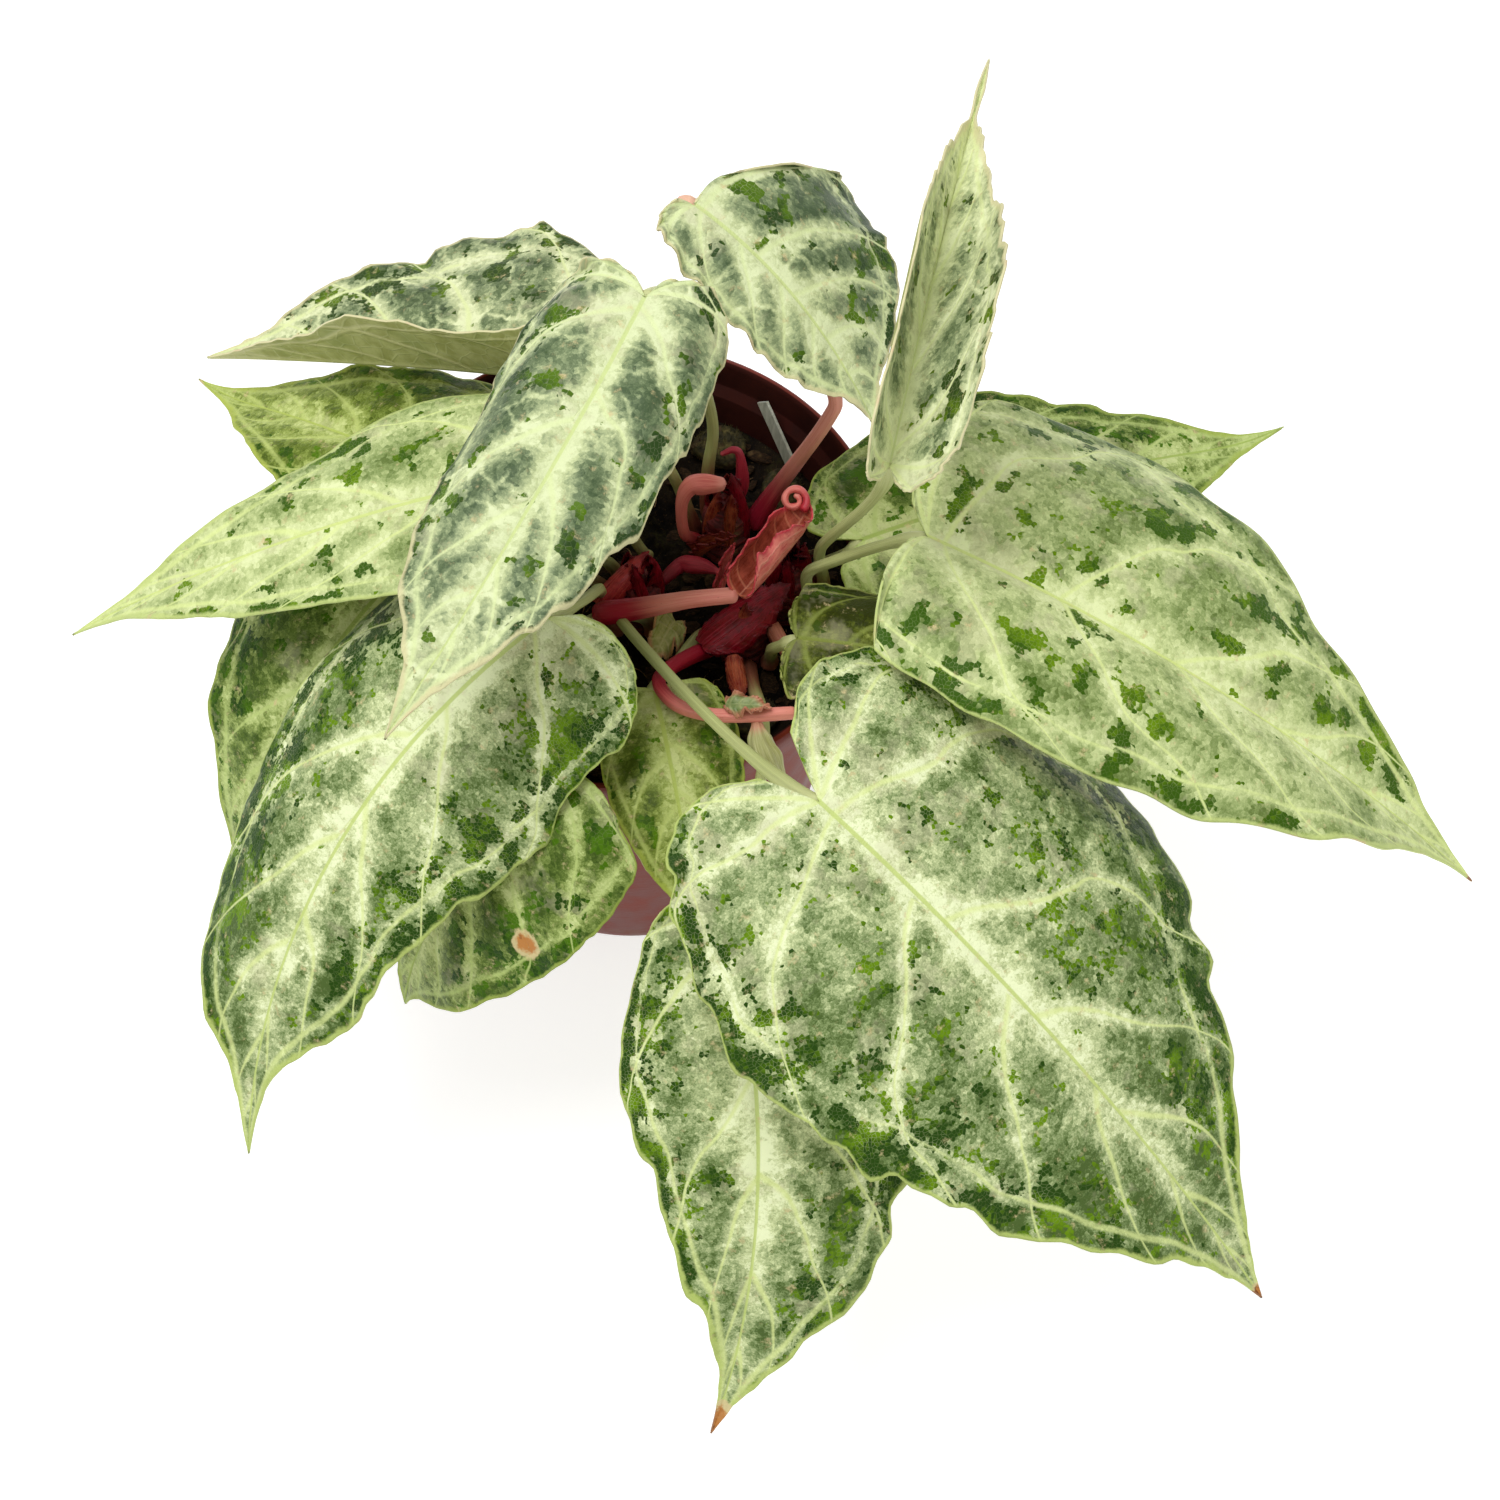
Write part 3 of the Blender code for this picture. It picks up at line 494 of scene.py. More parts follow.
def swept(name, path, radii, sides, shape, guide=(0.3, 0.5, 0.81)):
    """A closed tube along a path. shape(share, turn) scales the radius round it, and the share
    along it is kept in the attribute that its material reads."""
    path, radii = np.asarray(path, float), np.asarray(radii, float)
    ahead = np.gradient(path, axis=0)
    ahead /= np.linalg.norm(ahead, axis=1)[:, None]
    rounds = np.radians([24, 48, 70])
    first = [path[0] - ahead[0] * radii[0] * 0.7 * math.sin(a) for a in rounds[::-1]]
    last = [path[-1] + ahead[-1] * radii[-1] * 0.7 * math.sin(a) for a in rounds]
    radii = np.concatenate([radii[0] * np.cos(rounds[::-1]), radii, radii[-1] * np.cos(rounds)])
    path = np.vstack([first, path, last])
    ahead = np.vstack([ahead[:1]] * 3 + [ahead] + [ahead[-1:]] * 3)
    side = np.cross(ahead[0], guide)
    turns = np.linspace(0, 2 * math.pi, sides, endpoint=False)
    verts, along = [], []
    for k, (centre, forward, radius) in enumerate(zip(path, ahead, radii)):
        side = side - forward * (side @ forward)
        side /= np.linalg.norm(side)
        up = np.cross(forward, side)
        share = k / (len(path) - 1)
        reach = radius * np.array([shape(share, t) for t in turns])
        ring = centre + np.outer(reach * np.cos(turns), side) + np.outer(reach * np.sin(turns), up)
        verts.extend(ring.tolist())
        along.extend([(share, t / (2 * math.pi), 0) for t in turns])
    faces = []
    for k in range(len(path) - 1):
        a, b = k * sides, (k + 1) * sides
        faces += [(a + i, a + (i + 1) % sides, b + (i + 1) % sides, b + i) for i in range(sides)]
    foot_tip = path[0] - ahead[0] * radii[0] * 0.35
    top_tip = path[-1] + ahead[-1] * radii[-1] * 0.35
    for ring, tip in ((0, foot_tip), (len(path) - 1, top_tip)):
        verts.append(tip.tolist())
        along.append((ring / (len(path) - 1), 0, 0))
        a, end = ring * sides, len(verts) - 1
        if ring:
            faces += [(a + i, a + (i + 1) % sides, end) for i in range(sides)]
        else:
            faces += [(a + (i + 1) % sides, a + i, end) for i in range(sides)]
    mesh = bpy.data.meshes.new(name)
    mesh.from_pydata([[c * MM for c in v] for v in verts], [], faces)
    kept = mesh.attributes.new("along", "FLOAT_VECTOR", "POINT")
    kept.data.foreach_set("vector", np.array(along, np.float32).ravel())
    mesh.shade_smooth()
    return added(name, mesh)


stem_skin, shader, start = new_skin("stem_bark", roughness=0.6)
spot = start.node("TexCoord", out="Object")
ring = spot.stretched(0.5, 0.5, 3).grain(2 * MM, 5, 0.65)
fleck = spot.grain(1.1 * MM, 4, 0.7)
bark = ring.ease(0.4, 0.62).between(rgb(84, 20, 24), rgb(134, 42, 42))
bark = bark.over(rgb(70, 40, 26), fleck.ease(0.55, 0.66) * 0.8)
bark = bark.over(rgb(110, 110, 60), spot.grain(7 * MM).ease(0.58, 0.68) * 0.5)
wear(shader, ring * 0.8 + fleck * 0.25, depth=0.8, Base_Color=bark, Roughness=fleck.ease(0.4, 0.7, 0.45, 0.8))
for title, stem in STEMS.items():
    heights = np.linspace(STEM_FOOT + GAP, stem["top"] - 1, 60)
    path = [stem_axis(stem, height) for height in heights]
    radii = stem_radius(stem, heights) * (1 + 0.05 * np.sin(heights * 1.9)) - 0.1
    radii[-4:] *= (0.97, 0.92, 0.83, 0.68)
    shift = stem["at"][0]

    def scarred(share, turn):
        return 1 + 0.07 * noise.noise(Vector((3 * math.cos(turn), 3 * math.sin(turn), 22 * share + shift)))

    short_stem = swept(f"short_stem_{title}", path, radii, sides=40, shape=scarred)
    place(short_stem, stem_skin, "stem_bark", f"stem_{title}")

# The grown leaves. A blade is a thin, soft, marbled heart with pale veins and a waved margin. It is
# a grid laid in rows along the veins, bent by the same rule as the solid, quilted between its veins
# and given its thickness. Its petiole is a ridged stalk, thick at the foot, swollen under the blade.

# An outline gives where each row of a blade ends, in shares of the half width and of the length,
# and STARTS where it leaves the midrib. BLADE is the solid's thickness, and SKIN the thickness here.
HEART = [
    (0.12, -0.110), (0.30, -0.155), (0.52, -0.150), (0.74, -0.080), (0.92, 0.05), (1.00, 0.19), (1.00, 0.33),
    (0.91, 0.48), (0.74, 0.62), (0.51, 0.755), (0.21, 0.862), (0.08, 0.932), (0.0, 1.0),
]
STARTS = [0, 0, 0, 0, 0, 0.02, 0.11, 0.23, 0.38, 0.56, 0.75, 0.88, 1.0]
BLADE, SKIN = 0.8, 0.55
PETIOLE_FOOT, PETIOLE_MID, PETIOLE_NECK, PETIOLE_TOP = 2.3, 1.4, 1.3, 1.6
PETIOLE_START = 101

# The midrib runs from attach to tip. A pair is for the right and the left side, seen from the base:
# the half width, the fold and the curl of the side, and how much fuller, slimmer or longer in the
# lobe it is than the outline. quilt and crimp are the swell between the veins and the margin's.
LEAVES = {
    "front_right": dict(
        stem="left", start=-65, lean=-0.2, via=(2, -23.5, 121), attach=(47, -89, 152),
        tip=(145, -173, 78), arch=30, half=(54, 74), fold=(8, 8), curl=(-26, -30), full=(-0.35, -0.78),
        slim=(0.05, 0.22), lobe=(0.8, 0.9), wave=2.2, phase=0.6, look="silver", quilt=0.7, crimp=0.75,
        burnt=5, taut=1,
    ),
    "right": dict(
        stem="right", start=-45, via=(48, -14, 130), attach=(72, -22, 154), tip=(201, -77, 92),
        arch=30, half=(41, 66), fold=(34, 6), curl=(-30, -24), full=(-0.2, -1.0), slim=(0, 0.16),
        lobe=(0.2, 0.4), wave=2.0, phase=1.4, look="lime", quilt=0.6, crimp=0.45, burnt=3, taut=0.15,
    ),
    "front_left": dict(
        stem="left", start=-165, attach=(-13, -41, 150), tip=(-85, -133, 62), arch=34, sweep=40,
        half=(39.5, 37), fold=(8, 8), curl=(-30, -24), full=(-0.3, -0.7), lobe=(0.4, 0.4), wave=2.0,
        phase=0.2, look="silver", quilt=0.8, crimp=0.8, burnt=0,
        outline=HEART[:8] + [(0.80, 0.63), (0.66, 0.755), (0.24, 0.85), (0.09, 0.925), (0.0, 1.0)],
    ),
    "left": dict(
        stem="left", start=85, via=(5, 4, 112), attach=(-11, -9, 162), tip=(-128, -24, 116), arch=26,
        half=(29, 23), fold=(8, 10), curl=(-16, -16), full=(-1.05, -0.35), lobe=(0.5, 0.5), wave=1.4,
        phase=2.0, look="lime", quilt=0.5, crimp=0.3, burnt=0,
    ),
    "top": dict(
        stem="back", start=120, via=(22, 27, 140), attach=(9, 14, 194), tip=(-44, -84, 170), arch=22,
        sweep=-15, half=(30, 25), fold=(16, 16), curl=(-40, -40), lobe=(0.3, 0.4), wave=1.8, phase=3.0,
        look="blue", quilt=1.2, crimp=0.9, burnt=0,
    ),
    "back_left": dict(
        stem="back", start=165, attach=(-8, 21, 155), tip=(-103, 54, 122), arch=8, half=(50, 20),
        fold=(4, 80), curl=(-10, 0), full=(-0.2, 0), slim=(0.3, 0), lobe=(0.4, 0.3), wave=1.8,
        phase=0.9, look="frost", quilt=0.9, crimp=0.8, burnt=0,
    ),
    "left_under": dict(
        stem="left", start=125, attach=(-26, -4, 140), tip=(-107, 55, 112), arch=24, hook=-40,
        half=(33, 25), fold=(8, 12), curl=(-14, -14), full=(-0.8, -0.4), lobe=(0.4, 0.4), wave=1.6,
        phase=4.0, look="meadow", quilt=0.6, crimp=0.4, burnt=0,
    ),
    "back": dict(
        stem="back", start=30, lean=0.6, via=(51.6, 16.9, 150), attach=(20, 40, 194), tip=(60, 5, 160),
        arch=26, sweep=-20, half=(14.5, 47), fold=(10, -6), curl=(-20, -20), full=(1.0, 0.1),
        slim=(0, 1.0), lobe=(0.5, 0.1), wave=1.6, phase=5.0, look="blue", quilt=0.9, crimp=0.9, burnt=0,
        taut=20, stout=1.25,
    ),
    "back_right": dict(
        stem="right", start=-10, via=(49, -10, 133), setback=0.6, meet=80, attach=(62, -23, 183),
        tip=(89, 98, 180), arch=24, half=(26, 22), fold=(40, 62), curl=(10, 20), full=(-1.4, -1.2),
        lobe=(0.4, 0.4), wave=2.0, phase=1.0, look="frost", quilt=0.8, crimp=1.3, burnt=0, taut=0.15,
        outline=HEART[:8] + [(0.76, 0.60), (0.48, 0.715), (0.13, 0.80), (0.17, 0.89), (0.0, 1.0)],
    ),
    "right_under": dict(
        stem="right", start=40, attach=(59, -2, 124), tip=(166, 43, 108), arch=24, hook=-40,
        half=(26, 35), fold=(-2, 4), curl=(-10, -10), full=(-0.3, -0.8), slim=(0, 0.3),
        lobe=(0.5, 0.6), wave=1.4, phase=2.2, look="deep", quilt=0.5, crimp=0.4, burnt=0,
    ),
    "small_right": dict(
        stem="middle", start=-45, attach=(43, -33, 129), tip=(99, -42, 123), arch=20, half=(18, 18),
        fold=(14, 10), curl=(-20, -20), lobe=(0.3, 0.3), wave=1.4, phase=0.4, look="olive",
        quilt=0.5, crimp=0.9, burnt=0,
    ),
    "lower_left": dict(
        stem="left", start=-130, via=(-11, -33, 121), attach=(-10, -67, 127.5), tip=(-52, -91, 54),
        arch=50, half=(21, 33), fold=(18, 4), curl=(-20, -20), lobe=(0.3, 0.3), wave=1.4, phase=3.3,
        look="deep", quilt=0.6, crimp=0.4, burnt=0, spots=[(-23, 35.5, 2.6)],
    ),
    "far_left": dict(
        stem="left", start=160, attach=(-52, -17, 128), tip=(-91, -61, 50), arch=88, half=(31, 22),
        fold=(8, 8), curl=(-20, -20), full=(-1.3, 0), lobe=(0.8, 0.3), wave=1.4, phase=5.5,
        look="deep", quilt=0.6, crimp=0.5, burnt=0,
    ),
    "middle_under": dict(
        stem="middle", start=175, via=(13, -30, 110), attach=(10, -42, 120), tip=(21, -97, 101),
        arch=60, half=(16, 17), fold=(2, 2), curl=(-10, -10), lobe=(0.2, 0.2), wave=1.0, phase=2.8,
        look="meadow", quilt=0.3, crimp=0.3, burnt=0,
    ),
    "front": dict(
        stem="middle", start=-85, clear=1.8, lean=1.2, via=(35, -60, 120.5), attach=(28, -101, 118),
        tip=(23, -192, 38), arch=34, sweep=-32, half=(32, 33), fold=(10, 10), curl=(-20, -20),
        full=(-0.9, 0.4), slim=(0.3, 0), lobe=(0.4, 0.4), wave=2.0, phase=1.2, look="silver",
        quilt=0.7, crimp=0.9, burnt=12, spots=[(-13, 26, 1.4)],
        outline=HEART[:8] + [(0.78, 0.62), (0.42, 0.755), (0.15, 0.862), (0.06, 0.932), (0.0, 1.0)],
    ),
}

# A look has the ground's tones from dark to pale, the two greens of its patches, and the colours
# of the veins, the midrib and the rim. The numbers say how strongly each part of the pattern shows.
# The ground is darkened towards the tip as painted shade, and lift raises or lowers the whole
# ground: for frost that is painted light, for olive painted shade.
LOOKS = {
    "silver": dict(
        tones=((74, 96, 42), (116, 136, 82), (160, 174, 122), (202, 212, 157), (231, 239, 193)),
        deep=(34, 66, 0), bright=(98, 134, 0), vein=(214, 226, 148), midrib=(190, 206, 122),
        rim=(184, 200, 112), lift=0.0, patches=0.03, outer=0.15, broken=1.0, mesh=0.16, pane=0.15,
        mottle=1.4, tip_shade=0.3, cell=0.85, sand=0.9, halo=0.24, blot=5.5, torn=0.66,
    ),
    "lime": dict(
        tones=((96, 116, 54), (136, 154, 92), (174, 188, 126), (203, 214, 152), (223, 232, 176)),
        deep=(52, 86, 0), bright=(98, 132, 0), vein=(216, 229, 150), midrib=(204, 218, 134),
        rim=(190, 204, 126), lift=0.02, patches=0.06, outer=0.05, broken=0.5, mesh=0.06, pane=0.14,
        mottle=1.25, tip_shade=0.06, cell=0.95, sand=0.4, halo=0.17, blot=7.5, torn=0.5,
    ),
    "blue": dict(
        tones=((72, 90, 60), (108, 124, 88), (152, 165, 122), (191, 201, 150), (216, 225, 178)),
        deep=(44, 68, 26), bright=(80, 112, 14), vein=(212, 224, 164), midrib=(198, 212, 142),
        rim=(210, 204, 156), lift=-0.01, patches=0.025, outer=0.09, broken=0.6, mesh=0.3, pane=0.3,
        mottle=0.85, tip_shade=0.06, cell=1.1, sand=0.35, halo=0.24, blot=6.5, torn=0.58,
    ),
    # frost is the blue look with its own darker panes, lifted lighter as painted light for the leaves that
    # face away from the lamps.
    "frost": dict(
        tones=((62, 78, 48), (102, 118, 80), (156, 168, 124), (200, 208, 158), (226, 232, 186)),
        deep=(48, 70, 24), bright=(92, 120, 14), vein=(220, 230, 164), midrib=(206, 218, 146),
        rim=(214, 208, 160), lift=0.11, patches=0.02, outer=0.09, broken=0.6, mesh=0.28, pane=0.26,
        mottle=0.85, tip_shade=0.06, cell=1.1, sand=0.35, halo=0.22, blot=6.5, torn=0.58,
    ),
    "meadow": dict(
        tones=((70, 88, 20), (102, 120, 42), (138, 154, 72), (176, 190, 110), (204, 214, 142)),
        deep=(46, 78, 2), bright=(84, 122, 2), vein=(190, 204, 120), midrib=(176, 192, 96),
        rim=(172, 186, 84), lift=-0.13, patches=0.05, outer=0.08, broken=0.7, mesh=0.1, pane=0.15,
        mottle=1.4, tip_shade=0.0, cell=1.0, sand=0.6, halo=0.24, blot=6.0, torn=0.6,
    ),
    # olive is a yellow-green look set much darker as painted shade, for the small leaf that lies in shade
    # under the others.
    "olive": dict(
        tones=((46, 54, 2), (70, 80, 12), (100, 110, 38), (136, 146, 68), (166, 174, 98)),
        deep=(34, 50, 0), bright=(58, 80, 2), vein=(140, 152, 74), midrib=(132, 144, 66),
        rim=(164, 172, 92), lift=-0.48, patches=0.05, outer=0.08, broken=0.6, mesh=0.2, pane=0.15,
        mottle=1.4, tip_shade=0.0, cell=1.0, sand=0.5, halo=0.24, blot=6.0, torn=0.6,
    ),
    "deep": dict(
        tones=((60, 82, 22), (90, 112, 44), (130, 148, 76), (176, 192, 118), (202, 213, 146)),
        deep=(34, 66, 0), bright=(70, 110, 0), vein=(184, 202, 122), midrib=(160, 181, 92),
        rim=(158, 176, 80), lift=-0.07, patches=0.055, outer=0.09, broken=0.7, mesh=0.14, pane=0.17,
        mottle=1.4, tip_shade=0.04, cell=1.0, sand=0.7, halo=0.24, blot=6.0, torn=0.6,
    ),
}


def smooth(points, at):
    """Values of a Catmull-Rom curve through evenly numbered points, at fractional numbers at."""
    p = np.asarray(points, float)
    p = p.reshape(len(p), -1)
    padded = np.vstack([2 * p[0] - p[1], p, 2 * p[-1] - p[-2]])
    at = np.clip(at, 0, len(p) - 1)
    i = np.minimum(at.astype(int), len(p) - 2)
    f = (at - i)[..., None]
    a, b, c, d = (padded[i + k] for k in range(4))
    return 0.5 * (2 * b + (c - a) * f + (2 * a - 5 * b + 4 * c - d) * f**2 + (3 * b - a - 3 * c + d) * f**3)


def turned(angle, reach, bend):
    """Sideways and upward reach of an arc that starts at an angle and bends at an even rate."""
    k = np.where(np.abs(bend) < 1e-4, 1e-4, bend)
    end = angle + k
    return reach * (np.sin(end) - np.sin(angle)) / k, reach * (np.cos(angle) - np.cos(end)) / k


def midrib_curve(leaf, count=121):
    """Length of the midrib, points along it, and its direction, right side and normal there."""
    base, tip = (np.array(leaf[k], float) for k in ("attach", "tip"))
    chord = tip - base
    along = chord / np.linalg.norm(chord)
    side = np.cross(along, (0, 0, 1))
    side /= np.linalg.norm(side)
    up = np.cross(side, along)
    s = np.linspace(0, 1, count)
    hooked = leaf.get("hook", 0) * np.clip((s - 0.75) / 0.25, 0, 1) ** 2
    rise = np.radians(leaf["arch"] * (0.5 - s) - hooked)
    turn = np.radians(leaf.get("sweep", 0) * (0.5 - s))
    step = np.stack([np.cos(rise) * np.cos(turn), np.cos(rise) * np.sin(turn), np.sin(rise)], 1)
    path = np.vstack([np.zeros(3), np.cumsum((step[1:] + step[:-1]) / 2, 0)]) / (count - 1)
    straight = np.array(Vector(path[-1]).rotation_difference(Vector((1, 0, 0))).to_matrix())
    axes = np.stack([along, side, up])
    length = np.linalg.norm(chord) / np.linalg.norm(path[-1])
    middle = base + length * path @ straight.T @ axes
    direction = step @ straight.T @ axes
    across = np.cross(direction, up)
    across /= np.linalg.norm(across, axis=1)[:, None]
    return length, middle, direction, across, np.cross(across, direction)


def drift(x, y, size, seed):
    """A smooth wander between about -1 and 1, with lumps of about that size."""
    draw = np.random.default_rng(seed)
    total = 0
    for _ in range(7):
        turn, phase = draw.uniform(0, 2 * math.pi, 2)
        rate = 2 * math.pi / size * draw.uniform(0.6, 1.5)
        total = total + np.sin((x * math.cos(turn) + y * math.sin(turn)) * rate + phase)
    return total / 3.2


def vein_number(row):
    """Numbers that are whole on each vein: three fan from the base, and five leave the midrib."""
    rows = [0, 1.2, 3.1, 5.1, 7.1, 8.3, 9.3, 10.2, 11.1, 12]
    return np.interp(row, rows, [-0.6, 0, 1, 2, 3, 4, 5, 6, 7, 7.8])


def leaf_sheet(leaf, row, across, seed):
    """The blade's middle surface, and what its skin reads: places in the flat blade, the veins'
    numbers and spacing, and the distances to the margin and the midrib."""
    length, middle, direction, side, normal = midrib_curve(leaf)
    right = across > 0

    def pick(key, default=(0, 0)):
        pair = leaf.get(key, default)
        return np.where(right, pair[0], pair[1])

    def flat_place(row, across):
        edge = smooth(leaf.get("outline", HEART), row)
        start = np.clip(smooth(leaf.get("starts", STARTS), row)[..., 0], 0, 1)
        y_edge = edge[..., 1]
        x_edge = edge[..., 0] * half * (1 + pick("full") * np.clip(y_edge - 0.3, 0, 0.5))
        x_edge = x_edge * (1 - pick("slim") * np.clip(0.3 - y_edge, 0, 0.4) / 0.4)
        y_edge = np.where(y_edge < 0, y_edge * pick("lobe", (1, 1)), y_edge)
        share = np.abs(across)
        x = share * x_edge
        return x, length * (start + share * (y_edge - start)) - 0.28 * share * (1 - share) * x_edge, x_edge

    half = pick("half")
    share = np.abs(across)
    nick = drift(row * 10, right * 40.0, 11, seed) + 0.6 * drift(row * 10, right * 40.0, 5, seed + 8)
    nick = leaf["crimp"] * 0.042 * nick * share**3 * np.clip(12 - row, 0, 1)
    x, y, x_edge = flat_place(row, across * (1 + nick))
    fold, curl = np.radians(pick("fold")), np.radians(pick("curl"))
    reach, lift = turned(fold, x, curl * 2 * x / half)
    wave = np.sin(1.9 * row + 2.1 * right + leaf["phase"])
    near_margin = np.clip(x_edge / (0.6 * half), 0, 1)
    lift = lift + leaf["wave"] * wave * share**2.5 * near_margin
    crimp = drift(row * 10, share * 6 + right * 50.0, 13, seed + 1)
    crimp = crimp + 0.5 * drift(row * 10, right * 50.0, 6, seed + 2)
    lift = lift + 1.5 * leaf["crimp"] * crimp * share**4 * near_margin

    step = 0.05
    ahead_x, ahead_y, _ = flat_place(row + step, across)
    out_x, out_y, _ = flat_place(row, np.sign(across + 1e-9) * np.clip(share + 0.02, 0, 1.02))
    run = np.stack([out_x - x, out_y - y], -1)
    run /= np.linalg.norm(run, axis=-1)[..., None] + 1e-6
    ahead = np.stack([ahead_x - x, ahead_y - y], -1)
    rate = (vein_number(row + step) - vein_number(row - step)) / (2 * step)
    spacing = np.abs(ahead[..., 0] * run[..., 1] - ahead[..., 1] * run[..., 0]) / step / np.maximum(rate, 0.4)
    number = vein_number(row) - 0.42 * share**3 * np.clip(row / 5, 0, 1)
    number = number + (0.2 + 0.1 * right) * np.clip(row - 5, 0, 2) / 2 * np.cos(seed + 2.0 * right)
    sided = x * np.sign(across)
    number = number + 0.12 * drift(sided, y, 42, seed + 3) * np.clip(2.5 * share, 0, 1)
    number = number + 0.016 * drift(sided, y, 12, seed + 4) * np.clip(2.5 * share, 0, 1)
    collecting = np.abs(share - 0.84 + 0.02 * drift(sided, y, 26, seed + 6)) * x_edge
    inset = (1 - share) * np.maximum(x_edge, 0.12 * half) * 0.9

    near = np.minimum(np.minimum(np.abs(number - np.round(number)) * spacing, x), collecting)
    bulge = 1 - np.exp(-((near / 4.5) ** 2))
    second = 0.35 * drift(sided, y, 7, seed + 7) * bulge
    lift = lift + leaf["quilt"] * (bulge + second - 0.45) * np.clip(inset / 3, 0, 1)
    lift = lift - 0.35 * np.exp(-((x / 0.9) ** 2)) * (1 - np.clip(y / length, 0, 1))

    behind = np.clip(-y, 0, None)
    s = np.clip(y / length, 0, 1) * (len(middle) - 1)
    i = np.minimum(s.astype(int), len(middle) - 2)
    f = (s - i)[..., None]
    point, forward, out, up = (a[i] * (1 - f) + a[i + 1] * f for a in (middle, direction, side, normal))
    reach = reach * np.sign(across)
    points = point + out * reach[..., None] + up * lift[..., None] - forward * behind[..., None]
    burnt = np.clip((y - length + leaf["burnt"]) / (0.6 * leaf["burnt"] + 1e-6), 0, 1) * (leaf["burnt"] > 0)
    for spot_x, spot_y, size in leaf.get("spots", ()):
        away = np.hypot(sided - spot_x, y - spot_y)
        burnt = np.maximum(burnt, np.clip(1.6 - away / size, 0, 1))
    flat = np.stack([sided + 400.0 * (seed % 97), y, 0 * y], -1)
    veins = np.stack([number, spacing, share], -1)
    rim = np.stack([inset, x, collecting], -1)
    return points, dict(flat=flat, veins=veins, rim=rim, burnt=np.stack([burnt, y / length, 0 * y], -1))


def sheet_mesh(name, leaf, rows, columns, seed, thickness, skins):
    """A closed blade: the sheet as a grid, with what its skins read kept on its points. The skins
    are those of the upper side, the underside and the edge, in that order."""
    last = len(leaf.get("outline", HEART)) - 1
    bpy.ops.mesh.primitive_grid_add(x_subdivisions=2 * columns, y_subdivisions=rows, size=2)
    obj = bpy.context.object
    obj.name = name
    mesh = obj.data
    grid = np.array([v.co for v in mesh.vertices])
    across = np.sign(grid[:, 0]) * (1 - (1 - np.abs(grid[:, 0])) ** 1.25)
    points, kept = leaf_sheet(leaf, (grid[:, 1] + 1) / 2 * last, across, seed)
    mesh.vertices.foreach_set("co", (points * MM).astype(np.float32).ravel())
    for title, values in kept.items():
        layer = mesh.attributes.new(title, "FLOAT_VECTOR", "POINT")
        layer.data.foreach_set("vector", values.astype(np.float32).ravel())
    work = bmesh.new()
    work.from_mesh(mesh)
    bmesh.ops.remove_doubles(work, verts=work.verts, dist=0.02 * MM)
    work.to_mesh(mesh)
    work.free()
    mesh.shade_smooth()
    for skin in skins:
        mesh.materials.append(skin)
    thick = obj.modifiers.new("thickness", "SOLIDIFY")
    thick.thickness = thickness * MM
    thick.offset = 0
    thick.material_offset = 1
    thick.material_offset_rim = 2
    settle(obj)
    return obj


